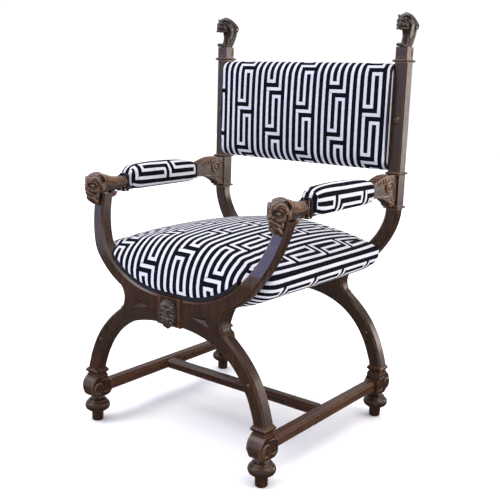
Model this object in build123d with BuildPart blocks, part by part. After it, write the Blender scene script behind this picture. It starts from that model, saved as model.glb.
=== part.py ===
from build123d import *
import os
from math import cos, radians, sin, tan

os.makedirs("parts", exist_ok=True)

# A fixed curule armchair: two X frames in planes of constant Y, tied by an H stretcher, a barrel
# seat, two padded arms and a padded back between two posts. +Z is up, the sitter looks along -Y,
# X runs across the seat, and the origin lies on the floor under the middle of the chair.
# Every size is in millimetres.

# --- stance and heights ---
ARM_X = 290.0  # middle of an arm, from the middle plane
FOOT_X = ARM_X - 13  # foot and leg end
POST_X = ARM_X + 4
FRAME_Y = 265.0  # middle of each X frame's board, from the middle plane
WAIST_X = 0.55 * ARM_X  # narrowest half width of an X frame
LEG_END_Z = 148.0  # where a leg stands on its necking
ARCH_Z = 327.0  # crown of the arch between the legs
SEAT_U_Z = ARCH_Z + 71  # lowest point of the U that holds the seat
WAIST_Z = ARCH_Z + 39
ARM_SEAT_Z = 612.0  # where a front upright carries the arm

# --- frame boards ---
BOARD = 34.0  # thickness of the sawn boards
LEG_W = 38.0
UPRIGHT_W = 35.0
FRONT_TURN = 85.0  # heading of the front uprights at the arm
ARRIS = 5.0  # chamfer along the long edges
BLOCK_HALF = 39.0  # half width of the block at each crossing
BLOCK_PROUD = 3.5
LEAN_Z = SEAT_U_Z + 75  # above this height the front uprights lean back
LEAN_ANGLE = 16.7
LEAN_RADIUS = 90.0
WAIST_HEIGHT = 57.0  # of the hollow at the waist
WAIST_FLARE = 11.0  # how far its two ends stand outside its middle
WAIST_BEAD_R = 3.2
DART_X = BLOCK_HALF + 33  # point of the sunk dart beside the block
DART_LENGTH = 52.0
DART_WIDTH = 26.0
DART_DEPTH = 5.0

# --- joints ---
FIT = 0.2  # between a tenon or dowel and its hole
POST_TENON_W = 16.0  # square tenons of the legs, the rear frames and the top blocks
POST_TENON_LENGTH = 24.0
SOFT_GAP = 0.4  # between upholstery and wood
DOWEL_R = 6.0
DOWEL_GRIP = 25.0  # how far a dowel enters each half of a frame
DOWEL_PITCH = 34.0
TENON_W = 14.0
TENON_H = 18.0
TENON_LENGTH = 15.0

# --- necking, scroll block and foot ---
NECKING_W = 43.0
NECKING_PLINTH = 38.0  # width of its foot
NECKING_BEAD = 8.0  # height of its bead
SCROLL_W = 42.0
SCROLL_TOP_Z = LEG_END_Z - 22
SCROLL_BOTTOM_Z = SCROLL_TOP_Z - 56
SCROLL_REACH = 33.0  # of the roll's far side beyond the leg's middle
SCROLL_TAIL = 32.0  # of the block towards the stretcher
ROUNDEL_R = 12.0
ROUNDEL_T = 4.5
BUN_R = 33.0
BUN_Z = SCROLL_BOTTOM_Z - 27
PEG_R = 14.8
PEG_TOP_Z = BUN_Z - 18
SPIGOT_R = 9.0
SPIGOT_LENGTH = 24.0
STUD_Z = SCROLL_TOP_Z + 112
STUD_R = 5.0

# --- stretchers ---
SIDE_RAIL_X = FOOT_X - 5
STRETCHER_W = 32.0
STRETCHER_H = 30.0
STRETCHER_Z = (SCROLL_TOP_Z + SCROLL_BOTTOM_Z) / 2 - 4.5
STRETCHER_ARRIS = 6.0
CROSS_W = 30.0
CROSS_H = 27.0

# --- posts ---
POST_W = 36.0
POST_D = 34.0  # front to back
POST_ARRIS = 3.0
COLLAR_W = 44.0
COLLAR_T = 9.0
COLLAR_FILLET = 1.5
LOWER_COLLAR_Z = ARM_SEAT_Z - 19
MID_COLLAR_Z = ARM_SEAT_Z + 70.5
UPPER_COLLAR_Z = 969.0
TOP_BLOCK_H = 30.0
TOP_BLOCK_W = 33.0
LOZENGE_Z = (MID_COLLAR_Z + UPPER_COLLAR_Z) / 2 - 8
LOZENGE_H = 26.0
FINIAL_H = 86.5
FINIAL_NECK_W = 22.0
FINIAL_HEAD_W = 33.0
FINIAL_MUZZLE = 39.0  # reach of the lion's muzzle in front of the frame's middle
FINIAL_NAPE = 38.0  # reach of its neck behind
LEDGE_R = 5.5

# --- arms ---
RAIL_X = ARM_X + 2
RAIL_W = 26.0
RAIL_FRONT = (102 - FRAME_Y, ARM_SEAT_Z + 2, ARM_SEAT_Z + 40)  # y, underside, top
RAIL_REAR = (FRAME_Y - 139, ARM_SEAT_Z + 16, ARM_SEAT_Z + 50)
BRACKET_FOOT_Z = LOWER_COLLAR_Z + 5.5
BRACKET_TOP_Z = MID_COLLAR_Z - 5
VOLUTE = (FRAME_Y - 56, ARM_SEAT_Z + 38)  # y, z of the carved scroll's eye
VOLUTE_R = 17.0
PAD_FRONT_Y = RAIL_FRONT[0] + 16
PAD_REAR_Y = RAIL_REAR[0] - 6
PAD_W = 58.0
PAD_BOTTOM_Z = ARM_SEAT_Z - 4
PAD_TOP_Z = ARM_SEAT_Z + 70
BAND_T = 9.0  # length along the arm of the front band, which closes the pad; half at the rear
BAND_CORNER = 5.0
HEAD_W = 52.0
HEAD_TOP_Z = ARM_SEAT_Z + 55
HEAD_FRONT_Y = -FRAME_Y - 22
HEAD_BACK_Y = -FRAME_Y + 30  # behind this the mane narrows
BEARD_Z = ARM_SEAT_Z - 33
LEAF_W = 22.0

# --- seat ---
COVER_T = 2.5
CLOTH_T = 1.2
SEAT_HALF_W = ARM_X - 11
SEAT_BOTTOM_Z = SEAT_U_Z - 12
SEAT_KEEL = (SEAT_HALF_W - 74, SEAT_U_Z + 7)  # where the underside turns up into the side
SEAT_SHOULDER_Z = SEAT_U_Z + 94
SEAT_CROWN_Z = SEAT_U_Z + 145
SEAT_CROWN_R = 760.0
SEAT_ROLL = 40.0  # radius of the cushion's front and rear edges
PANEL_Y = {-1: FRAME_Y + 10, 1: FRAME_Y + 5}  # faces of the front and rear panels
PANEL_TOP_Z = SEAT_U_Z + 84
GIMP_W = 9.0
GIMP_T = 3.0
GIMP_TOP_Z = PANEL_TOP_Z - 16
DUST_HALF_W = 112.0
DUST_MARGIN = 15.0  # from the dust cloth's ends to the frames
SEAT_RAIL = 26.0
UPPER_RAIL = (SEAT_HALF_W - 67, SEAT_U_Z + 48)  # x, z
LOWER_RAIL = (132.0, SEAT_U_Z + 10)
WEB_W = 50.0
WEB_T = 2.0
SEAT_WEBS = 6
BACK_WEBS = 5

# --- back ---
BACK_BOTTOM_Z = MID_COLLAR_Z + 6.5
BACK_TOP_Z = UPPER_COLLAR_Z - 7
BACK_FRONT_Y = FRAME_Y - 43
BACK_REAR_Y = FRAME_Y + 21
BACK_ROLL = 24.0
BACK_CROWN = 6.0
BACK_RAIL_H = 30.0
BACK_RAIL_D = 20.0
BACK_RAIL_Y = FRAME_Y - 1
BACK_RAIL_MARGIN = 8.0  # from the pad's edge to the rail

# --- worked out ---
FRAME_FRONT = FRAME_Y + BOARD / 2
FRAME_BACK = FRAME_Y - BOARD / 2
POST_FOOT_Z = LOWER_COLLAR_Z + COLLAR_T / 2
FRAME_TOP_Z = LOWER_COLLAR_Z - COLLAR_T / 2
BLOCK_Z = (SEAT_U_Z + ARCH_Z) / 2
BLOCK_H = SEAT_U_Z - ARCH_Z
CORNERS = {
    "front_left": (-1, -1),
    "front_right": (1, -1),
    "rear_left": (-1, 1),
    "rear_right": (1, 1),
}


def save(piece, name):
    piece.part.label = name
    export_step(piece.part, f"parts/{name}.step")


def mirrored(piece, about=Plane.YZ):
    with BuildPart() as copy:
        mirror(piece.part, about=about)
    return copy


def swing(start, leave, reach_out, end, arrive, reach_in):
    """Cubic between two points, with its two headings in degrees and its handles as shares of
    the chord."""
    a, b = Vector(*start), Vector(*end)
    chord = (b - a).length
    out = Vector(cos(radians(leave)), sin(radians(leave))) * chord * reach_out
    into = Vector(cos(radians(arrive)), sin(radians(arrive))) * chord * reach_in
    return Bezier(a, a + out, b - into, b)


# --- the X frames ---
# Each half is one board: a U curve above, an arch below, and a hollow waist between them.
# swell gives the handles of the upper curves, because the rear uprights turn up more sharply.
U_START = (BLOCK_HALF, SEAT_U_Z)
FRONT_TOP = (ARM_X, ARM_SEAT_Z, FRONT_TURN)  # x, z and heading of an upright's end
REAR_TOP = (POST_X, FRAME_TOP_Z, 90)
FRONT_SWELL = (0.45, 0.35)
REAR_SWELL = (0.3, 0.28)
ARCH_START = (BLOCK_HALF, ARCH_Z)
WAIST_UP = (WAIST_X + WAIST_FLARE, WAIST_Z + WAIST_HEIGHT / 2)
WAIST_DOWN = (WAIST_X + WAIST_FLARE, WAIST_Z - WAIST_HEIGHT / 2)


def u_curve(top_x, top_z, turn, swell, inset=0.0):
    start = (U_START[0], U_START[1] + inset)
    return swing(start, 0, 0.35, (top_x - UPRIGHT_W / 2 - inset, top_z), turn, swell)


def half_outline(top_x, top_z, turn, inner_swell, outer_swell):
    leg_in, leg_out = FOOT_X - LEG_W / 2, FOOT_X + LEG_W / 2
    outer_top = (top_x + UPRIGHT_W / 2, top_z)
    with BuildLine() as outline:
        Line(ARCH_START, U_START)
        u_curve(top_x, top_z, turn, inner_swell)
        Line((top_x - UPRIGHT_W / 2, top_z), outer_top)
        swing(WAIST_UP, 25, 0.36, outer_top, turn, outer_swell)
        ThreePointArc(WAIST_UP, (WAIST_X, WAIST_Z), WAIST_DOWN)
        swing(WAIST_DOWN, -37, 0.29, (leg_out, LEG_END_Z), -77, 0.48)
        Line((leg_out, LEG_END_Z), (leg_in, LEG_END_Z))
        swing(ARCH_START, -3, 0.44, (leg_in, LEG_END_Z), -75, 0.4)
    return outline.edges()


def long_edges(part):
    """The edges along the curves: not across the board, and not round its three end faces."""
    ends = [
        part.faces().sort_by(Axis.Z)[0],
        part.faces().sort_by(Axis.Z)[-1],
        part.faces().sort_by(Axis.X)[0],
    ]
    around = ShapeList(edge for face in ends for edge in face.edges())
    across = part.edges().filter_by(Axis.Y)
    return ShapeList(e for e in part.edges() if e not in around and e not in across)


def dress_half(side):
    """The waist's bead and fillet, the leg's tenon, and the dowel holes."""
    depth = BOARD - 2 * ARRIS
    tenon_bottom = SCROLL_TOP_Z - POST_TENON_LENGTH
    with Locations((FOOT_X, side * FRAME_Y, (LEG_END_Z + tenon_bottom) / 2)):
        Box(POST_TENON_W, POST_TENON_W, LEG_END_Z - tenon_bottom)
    with Locations((WAIST_X - 0.5, side * FRAME_Y, WAIST_Z - WAIST_HEIGHT / 4)):
        Cylinder(WAIST_BEAD_R, depth, rotation=(90, 0, 0))
    with Locations((WAIST_DOWN[0] - 1, side * FRAME_Y, WAIST_DOWN[1] + 1)):
        Box(2 * WAIST_BEAD_R, depth, WAIST_BEAD_R)
    dowels(side, FIT)


def dart(side):
    """A chip-carved dart, its point towards the block and its deepest place near its wide end."""
    tip_z = BLOCK_Z - 2
    face = side * FRAME_FRONT
    wide = DART_X + DART_LENGTH
    outline = [
        (DART_X, face, tip_z),
        (wide, face, tip_z + DART_WIDTH / 2),
        (wide, face, tip_z - DART_WIDTH / 2),
    ]
    bottom = (wide - DART_LENGTH / 3, face - side * DART_DEPTH, tip_z)
    flanks = [
        Face(Wire.make_polygon([*pair, bottom]))
        for pair in (outline[:2], outline[1:], [outline[2], outline[0]])
    ]
    return Solid(Shell([Face(Wire.make_polygon(outline)), *flanks]))


def dowels(side, clearance, mode=Mode.SUBTRACT):
    """Two dowels through a frame's block into both halves, or the holes for them."""
    length = 2 * (BLOCK_HALF + DOWEL_GRIP + clearance)
    for z in (BLOCK_Z - DOWEL_PITCH / 2, BLOCK_Z + DOWEL_PITCH / 2):
        with Locations((0, side * FRAME_Y, z)):
            Cylinder(DOWEL_R + clearance, length, rotation=(0, 90, 0), mode=mode)


def lean_path(shift=0.0):
    """The front boards seen from the side: upright, then leaning back. This is their middle line,
    or a line that runs shift behind it."""
    rise = ARM_SEAT_Z + BOARD - LEAN_Z
    turn = radians(LEAN_ANGLE)
    y, z = shift - FRAME_Y, LEAN_Z - shift * tan(turn / 2)
    return FilletPolyline(
        (y, LEG_END_Z - BOARD),
        (y, z),
        (y + rise * tan(turn), z + rise),
        radius=LEAN_RADIUS - shift,
    )


with BuildPart() as front_half:
    with BuildSketch(Plane.XZ):
        make_face(half_outline(*FRONT_TOP, *FRONT_SWELL))
    extrude(amount=2 * FRAME_Y, both=True)
    with BuildSketch(Plane.YZ):
        with BuildLine():
            lean_path()
        trace(line_width=BOARD)
    extrude(amount=2 * ARM_X, mode=Mode.INTERSECT)
    chamfer(long_edges(front_half.part), ARRIS)
    dress_half(-1)
    add(dart(-1), mode=Mode.SUBTRACT)

with BuildPart() as rear_half:
    with BuildSketch(Plane.XZ.offset(-FRAME_Y)):
        make_face(half_outline(*REAR_TOP, *REAR_SWELL))
    extrude(amount=BOARD / 2, both=True)
    chamfer(long_edges(rear_half.part), ARRIS)
    dress_half(1)
    with Locations((POST_X, FRAME_Y, POST_FOOT_Z)):
        Box(POST_TENON_W, POST_TENON_W, 2 * POST_TENON_LENGTH)

save(front_half, "front_frame_right")
save(mirrored(front_half), "front_frame_left")
save(rear_half, "rear_frame_right")
save(mirrored(rear_half), "rear_frame_left")


# --- the blocks at the crossings, the dowels and the mask ---
def centre_block(side, proud):
    """The block between two halves. On its outer face a groove near each end leaves a bead."""
    outer, inner = side * (FRAME_FRONT + proud), side * FRAME_BACK
    with BuildPart() as block:
        with BuildSketch(Plane.YZ):
            with Locations(((outer + inner) / 2, BLOCK_Z)):
                Rectangle(abs(outer - inner), BLOCK_H)
        extrude(amount=BLOCK_HALF, both=True)
        upright = block.edges().filter_by(Axis.Z).sort_by(Axis.Y)
        fillet(upright[:2] if side < 0 else upright[-2:], BLOCK_PROUD - 0.5)
        for x in (-1, 1):
            with Locations((x * (BLOCK_HALF - 8), outer, BLOCK_Z)):
                Box(2, 3, BLOCK_H, mode=Mode.SUBTRACT)
        dowels(side, FIT)
    return block


save(centre_block(-1, BLOCK_PROUD), "front_centre_block")
save(centre_block(1, BLOCK_PROUD), "rear_centre_block")

with BuildPart() as crossing_dowels:
    for side in (-1, 1):
        dowels(side, 0, mode=Mode.ADD)
save(crossing_dowels, "crossing_dowels")

MASK_BACK = FRAME_FRONT + BLOCK_PROUD
MASK_TOP = SEAT_U_Z - 6
MASK_CHIN = ARCH_Z - 6
MASK_HALF_W = 26.0
SHIELD_T = 4.0
MASK_BEVEL = 25.0
# the main masses of a lion's face on a shield, face, brows, nose and chin: x, height above the
# block's middle, radius, and how far each stands out from the shield
MASK_MASSES = (
    (0, 0, 18, 3),
    (-8, 9, 7, 6),
    (8, 9, 7, 6),
    (0, -2, 7, 9),
    (0, -14, 8, 5),
)
with BuildPart() as mask:
    with BuildSketch(Plane.XZ.offset(MASK_BACK)):
        with BuildLine():
            Line((0, MASK_TOP), (MASK_HALF_W - 6, MASK_TOP))
            ThreePointArc((MASK_HALF_W - 6, MASK_TOP), (MASK_HALF_W, BLOCK_Z), (0, MASK_CHIN))
            mirror(about=Plane.YZ)
        make_face()
    extrude(amount=SHIELD_T)
    for x, z, radius, height in MASK_MASSES:
        with BuildSketch(Plane.XZ.offset(MASK_BACK + SHIELD_T)):
            with Locations((x, BLOCK_Z + z)):
                RegularPolygon(radius, 8, rotation=22.5)
        extrude(amount=height, taper=MASK_BEVEL)
save(mask, "front_lion_mask")


# --- neckings and collars: square mouldings ---
def moulded_square(profile, x, y):
    """One silhouette sawn from the front and from the side, so its corners meet in mitres."""
    with BuildPart() as moulding:
        with BuildSketch(Plane((x, y, 0), x_dir=(1, 0, 0), z_dir=(0, -1, 0))):
            make_face(profile)
        extrude(amount=COLLAR_W, both=True)
        with BuildSketch(Plane((x, y, 0), x_dir=(0, 1, 0), z_dir=(1, 0, 0))):
            make_face(profile)
        extrude(amount=COLLAR_W, both=True, mode=Mode.INTERSECT)
    return moulding


def necking_profile():
    """Plinth, hollow, bead and fillet, from the scroll block up to the leg."""
    edge, plinth = NECKING_W / 2, NECKING_PLINTH / 2
    plinth_top = SCROLL_TOP_Z + 5
    bead_top = LEG_END_Z - 3
    bead_foot = bead_top - NECKING_BEAD
    with BuildLine() as half:
        Polyline((0, SCROLL_TOP_Z), (plinth, SCROLL_TOP_Z), (plinth, plinth_top))
        Line((plinth, plinth_top), (plinth - 2.5, plinth_top))
        RadiusArc((plinth - 2.5, plinth_top), (edge - 1.5, bead_foot), 7)
        bead_middle = (edge, bead_top - NECKING_BEAD / 2)
        ThreePointArc((edge - 1.5, bead_foot), bead_middle, (edge - 1.5, bead_top))
        Polyline((edge - 1.5, bead_top), (edge - 3, bead_top), (edge - 3, LEG_END_Z))
        Line((edge - 3, LEG_END_Z), (0, LEG_END_Z))
        mirror(about=Plane.YZ)
    return half.edges()


def collar_profile(middle_z):
    """A fillet below and above a half-round bead."""
    edge = COLLAR_W / 2
    low, high = middle_z - COLLAR_T / 2, middle_z + COLLAR_T / 2
    bead_low, bead_high = low + COLLAR_FILLET, high - COLLAR_FILLET
    fillet_x = edge - COLLAR_T / 2
    bead_x = fillet_x + COLLAR_FILLET
    with BuildLine() as half:
        Polyline((0, low), (fillet_x, low), (fillet_x, bead_low), (bead_x, bead_low))
        ThreePointArc((bead_x, bead_low), (edge, middle_z), (bead_x, bead_high))
        Polyline((bead_x, bead_high), (fillet_x, bead_high), (fillet_x, high), (0, high))
        mirror(about=Plane.YZ)
    return half.edges()


def save_corners(piece, name):
    """piece is made at the rear right; the other three corners are its mirror images."""
    for corner, (across, along) in CORNERS.items():
        turned = piece if across > 0 else mirrored(piece)
        turned = turned if along > 0 else mirrored(turned, Plane.XZ)
        save(turned, f"{name}_{corner}")


def save_pair(piece, name):
    save(piece, f"{name}_right")
    save(mirrored(piece), f"{name}_left")


def mortise(centre, reach):
    """A square mortise through centre, reach above and below, for a tenon of the posts' kind."""
    side = POST_TENON_W + 2 * FIT
    with Locations(centre):
        Box(side, side, 2 * (reach + FIT), mode=Mode.SUBTRACT)


with BuildPart() as necking:
    add(moulded_square(necking_profile(), FOOT_X, FRAME_Y).part)
    mortise((FOOT_X, FRAME_Y, LEG_END_Z), LEG_END_Z - SCROLL_TOP_Z)
save_corners(necking, "leg_collar")

# --- scroll blocks ---
SCROLL_PLANE = Plane((FOOT_X, FRAME_Y, 0), x_dir=(0, 1, 0), z_dir=(1, 0, 0))
STRETCHER_TOP = STRETCHER_Z + STRETCHER_H / 2
STRETCHER_BOTTOM = STRETCHER_Z - STRETCHER_H / 2
ROLL = (SCROLL_REACH - 19, (SCROLL_TOP_Z + SCROLL_BOTTOM_Z) / 2)
with BuildPart() as scroll_block:
    with BuildSketch(SCROLL_PLANE):
        with BuildLine():
            shelf = NECKING_PLINTH / 2
            roll_y, roll_foot = ROLL[0], SCROLL_BOTTOM_Z + 3
            tail_foot, tail_top = STRETCHER_BOTTOM + 2, STRETCHER_TOP
            Line((-shelf, SCROLL_TOP_Z), (shelf, SCROLL_TOP_Z))
            ThreePointArc((shelf, SCROLL_TOP_Z), (SCROLL_REACH, ROLL[1]), (roll_y, roll_foot))
            Polyline((roll_y, roll_foot), (roll_y - 3, SCROLL_BOTTOM_Z), (-15, SCROLL_BOTTOM_Z))
            ThreePointArc((-15, SCROLL_BOTTOM_Z), (-25, roll_foot), (-SCROLL_TAIL, tail_foot))
            Line((-SCROLL_TAIL, tail_foot), (-SCROLL_TAIL, tail_top))
            ThreePointArc((-SCROLL_TAIL, tail_top), (-24, tail_top + 4), (-shelf, SCROLL_TOP_Z))
        make_face()
    extrude(amount=SCROLL_W / 2, both=True)
    with BuildSketch(SCROLL_PLANE):
        with Locations(ROLL):
            Circle(ROUNDEL_R)
    extrude(amount=SCROLL_W / 2 + ROUNDEL_T, both=True)
    mortise((FOOT_X, FRAME_Y, SCROLL_TOP_Z), POST_TENON_LENGTH)
    with Locations((FOOT_X, FRAME_Y, SCROLL_BOTTOM_Z + SPIGOT_LENGTH / 2)):
        Cylinder(SPIGOT_R + FIT, SPIGOT_LENGTH + 2 * FIT, mode=Mode.SUBTRACT)
    with Locations((SIDE_RAIL_X, FRAME_Y - SCROLL_TAIL + TENON_LENGTH / 2, STRETCHER_Z)):
        Box(TENON_W + 2 * FIT, TENON_LENGTH + 2 * FIT, TENON_H + 2 * FIT, mode=Mode.SUBTRACT)
save_corners(scroll_block, "scroll_block")

# --- turned feet ---
RING_R = BUN_R - 9
with BuildPart() as foot:
    with BuildSketch(Plane((FOOT_X, FRAME_Y, 0), x_dir=(1, 0, 0), z_dir=(0, -1, 0))):
        with BuildLine():
            belly_r = BUN_R - 3
            ring_top = (RING_R - 2, BUN_Z + 17)
            # the peg, the bun's flank, its round belly, its shoulder, the ring and the hollow
            Polyline((0, 0), (PEG_R - 1.5, 0), (PEG_R, 1.5), (PEG_R + 0.8, PEG_TOP_Z))
            Polyline((PEG_R + 0.8, PEG_TOP_Z), (BUN_R - 9, BUN_Z - 14), (belly_r, BUN_Z - 9.5))
            ThreePointArc((belly_r, BUN_Z - 9.5), (BUN_R, BUN_Z), (belly_r, BUN_Z + 8))
            Polyline((belly_r, BUN_Z + 8), (RING_R, BUN_Z + 12))
            Polyline((RING_R, BUN_Z + 12), (RING_R + 0.5, BUN_Z + 15), ring_top)
            RadiusArc(ring_top, (PEG_R, SCROLL_BOTTOM_Z), 11)
            Polyline(
                (PEG_R, SCROLL_BOTTOM_Z),
                (SPIGOT_R, SCROLL_BOTTOM_Z),
                (SPIGOT_R, SCROLL_BOTTOM_Z + SPIGOT_LENGTH),
                (0, SCROLL_BOTTOM_Z + SPIGOT_LENGTH),
                (0, 0),
            )
        make_face()
    revolve(axis=Axis((FOOT_X, FRAME_Y, 0), (0, 0, 1)))
save_corners(foot, "foot")

# --- bosses on the legs' front faces ---
STUD_X = FOOT_X - 34
with BuildPart() as leg_studs:
    for face in (-FRAME_FRONT, FRAME_BACK):
        with BuildSketch(Plane.XZ.offset(-face)):
            with Locations((-STUD_X, STUD_Z), (STUD_X, STUD_Z)):
                RegularPolygon(STUD_R, 8)
        extrude(amount=STUD_R - 1, taper=30)
save(leg_studs, "leg_studs")


# --- the H stretcher ---
def stretcher(length, width, height, along):
    """A bar with chamfered arrises and a tenon at both ends, along X or Y through the origin."""
    size = (length, width, height) if along == Axis.X else (width, length, height)
    inner = length + 2 * TENON_LENGTH
    tenons = (inner, TENON_W, TENON_H) if along == Axis.X else (TENON_W, inner, TENON_H)
    with BuildPart() as bar:
        Box(*size)
        chamfer(bar.edges().filter_by(along), STRETCHER_ARRIS)
        Box(*tenons)
    return bar


SIDE_LENGTH = 2 * (FRAME_Y - SCROLL_TAIL)
CROSS_LENGTH = 2 * SIDE_RAIL_X - STRETCHER_W
with BuildPart() as cross_stretcher:
    with Locations((0, 0, STRETCHER_Z)):
        add(stretcher(CROSS_LENGTH, CROSS_W, CROSS_H, Axis.X).part)
save(cross_stretcher, "cross_stretcher")

with BuildPart() as side_stretcher:
    with Locations((SIDE_RAIL_X, 0, STRETCHER_Z)):
        add(stretcher(SIDE_LENGTH, STRETCHER_W, STRETCHER_H, Axis.Y).part)
    with Locations((CROSS_LENGTH / 2 + TENON_LENGTH / 2, 0, STRETCHER_Z)):
        Box(TENON_LENGTH + 2 * FIT, TENON_W + 2 * FIT, TENON_H + 2 * FIT, mode=Mode.SUBTRACT)
save_pair(side_stretcher, "side_stretcher")

# --- posts, collars, top blocks ---
POST_TOP_Z = UPPER_COLLAR_Z - COLLAR_T / 2
SHAFT_Z = MID_COLLAR_Z + COLLAR_T / 2
with BuildPart() as post:
    with BuildSketch(Plane.XY.offset(POST_FOOT_Z)):
        with Locations((POST_X, FRAME_Y)):
            Rectangle(POST_W, POST_D)
    extrude(amount=SHAFT_Z - POST_FOOT_Z)
    with BuildSketch(Plane.XY.offset(SHAFT_Z)):
        with Locations((POST_X, FRAME_Y)):
            corners = Rectangle(POST_W, POST_D)
        chamfer(corners.vertices(), POST_ARRIS)
    extrude(amount=POST_TOP_Z - SHAFT_Z)
    with BuildSketch(Plane.XZ.offset(POST_D / 2 - FRAME_Y)):
        with Locations((POST_X, LOZENGE_Z)):
            RegularPolygon(LOZENGE_H / 2, 4, rotation=45)
    extrude(amount=3, taper=60)
    mortise((POST_X, FRAME_Y, POST_FOOT_Z), POST_TENON_LENGTH)
    mortise((POST_X, FRAME_Y, POST_TOP_Z), POST_TENON_LENGTH)
save_pair(post, "post")

for name, height in (("lower_collar", LOWER_COLLAR_Z), ("upper_collar", UPPER_COLLAR_Z)):
    with BuildPart() as collar:
        add(moulded_square(collar_profile(height), POST_X, FRAME_Y).part)
        mortise((POST_X, FRAME_Y, height), COLLAR_T)
    save_pair(collar, name)

with BuildPart() as mid_collar:
    add(moulded_square(collar_profile(MID_COLLAR_Z), POST_X, FRAME_Y).part)
    with Locations((POST_X, FRAME_Y, MID_COLLAR_Z)):
        Box(POST_W, POST_D, COLLAR_T, mode=Mode.SUBTRACT)
save_pair(mid_collar, "mid_collar")

BLOCK_FOOT_Z = UPPER_COLLAR_Z + COLLAR_T / 2
with BuildPart() as top_block:
    with Locations((POST_X, FRAME_Y, BLOCK_FOOT_Z + TOP_BLOCK_H / 2)):
        Box(TOP_BLOCK_W, TOP_BLOCK_W, TOP_BLOCK_H)
        # a sunk panel in each side: two slots through the block, filled again short of its faces
        panel_w = TOP_BLOCK_W - 10
        for width, depth in ((panel_w, TOP_BLOCK_W), (TOP_BLOCK_W, panel_w)):
            Box(width, depth, TOP_BLOCK_H - 12, mode=Mode.SUBTRACT)
        Box(TOP_BLOCK_W - 3, TOP_BLOCK_W - 3, TOP_BLOCK_H)
    with Locations((POST_X, FRAME_Y, BLOCK_FOOT_Z - POST_TENON_LENGTH / 2)):
        Box(POST_TENON_W, POST_TENON_W, POST_TENON_LENGTH)
save_pair(top_block, "top_block")

# --- finials: a lion's head on an S-shaped neck, sawn from the side and from the front ---
FINIAL_FOOT_Z = BLOCK_FOOT_Z + TOP_BLOCK_H
FINIAL_TOP_Z = FINIAL_FOOT_Z + FINIAL_H
FINIAL_FOOT = (FRAME_Y - 13, FRAME_Y + 15)  # front and back of the neck's foot
CHIN = (FRAME_Y - 20, FINIAL_TOP_Z - 46)
MUZZLE = (FRAME_Y - FINIAL_MUZZLE, FINIAL_TOP_Z - 34)
NAPE = (FRAME_Y + FINIAL_NAPE, FINIAL_FOOT_Z + 48)
CROWN = (FRAME_Y - 3, FINIAL_TOP_Z)
with BuildPart() as finial:
    with BuildSketch(Plane.YZ.offset(POST_X)):
        with BuildLine():
            front_foot, back_foot = ((y, FINIAL_FOOT_Z) for y in FINIAL_FOOT)
            Line(front_foot, back_foot)
            Spline(back_foot, NAPE, CROWN, tangents=((0.35, 1), (0, 1), (-1, 0)))
            ThreePointArc(CROWN, (FRAME_Y - 29, FINIAL_TOP_Z - 13), MUZZLE)
            ThreePointArc(MUZZLE, (FRAME_Y - 33, FINIAL_TOP_Z - 44), CHIN)
            throat = (FRAME_Y - 8, FINIAL_FOOT_Z + 26)
            Spline(CHIN, throat, front_foot, tangents=((1, -0.2), (-0.4, -1)))
        make_face()
    extrude(amount=FINIAL_HEAD_W, both=True)
    with BuildSketch(Plane.XZ):
        with BuildLine():
            cheek = (POST_X + FINIAL_HEAD_W / 2, FINIAL_FOOT_Z + 58)
            neck_foot = (POST_X + FINIAL_NECK_W / 2 + 1.5, FINIAL_FOOT_Z)
            neck = (POST_X + FINIAL_NECK_W / 2, FINIAL_FOOT_Z + 22)
            Line((POST_X, FINIAL_FOOT_Z), neck_foot)
            Spline(neck_foot, neck, cheek, tangents=((0, 1), (0, 1)))
            ThreePointArc(cheek, (cheek[0] - 3, FINIAL_TOP_Z - 8), (POST_X + 6, FINIAL_TOP_Z))
            Line((POST_X + 6, FINIAL_TOP_Z), (POST_X, FINIAL_TOP_Z))
            mirror(about=Plane.YZ.offset(POST_X))
        make_face()
    extrude(amount=-2 * FRAME_Y, mode=Mode.INTERSECT)
    # the little roll in front of the neck's foot
    with Locations((POST_X, FINIAL_FOOT[0] - LEDGE_R / 2, FINIAL_FOOT_Z + LEDGE_R)):
        Cylinder(LEDGE_R, FINIAL_NECK_W, rotation=(0, 90, 0))
save_pair(finial, "finial")


# --- arms ---
def rail_edges():
    """The rail and its scroll bracket, in Y and Z."""
    front_y, front_under, front_over = RAIL_FRONT
    rear_y, rear_under, rear_over = RAIL_REAR
    post_y = FRAME_Y - POST_D / 2
    with BuildLine() as outline:
        Line((front_y, front_under), (front_y, front_over))
        Line((front_y, front_over), (rear_y, rear_over))
        Spline(
            (rear_y, rear_over),
            (post_y - 67, BRACKET_TOP_Z - 1),
            (post_y - 40, BRACKET_TOP_Z),
            tangents=((1, 0.3), (1, 0)),
        )
        Polyline(
            (post_y - 40, BRACKET_TOP_Z),
            (post_y, BRACKET_TOP_Z),
            (post_y, BRACKET_FOOT_Z),
            (post_y - 25, BRACKET_FOOT_Z),
        )
        Spline(
            (post_y - 25, BRACKET_FOOT_Z),
            (post_y - 44, BRACKET_FOOT_Z + 15.5),
            (rear_y, rear_under),
            tangents=((-0.5, 1), (-1, 0)),
        )
        Line((rear_y, rear_under), (front_y, front_under))
    return outline.edges()


with BuildPart() as arm_rail:
    with BuildSketch(Plane.YZ.offset(RAIL_X)):
        make_face(rail_edges())
    extrude(amount=RAIL_W / 2, both=True)
    with BuildSketch(Plane.YZ.offset(RAIL_X)):
        with Locations(VOLUTE):
            Circle(VOLUTE_R)
    extrude(amount=RAIL_W / 2 + 2, both=True)
save_pair(arm_rail, "arm_rail")

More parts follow.
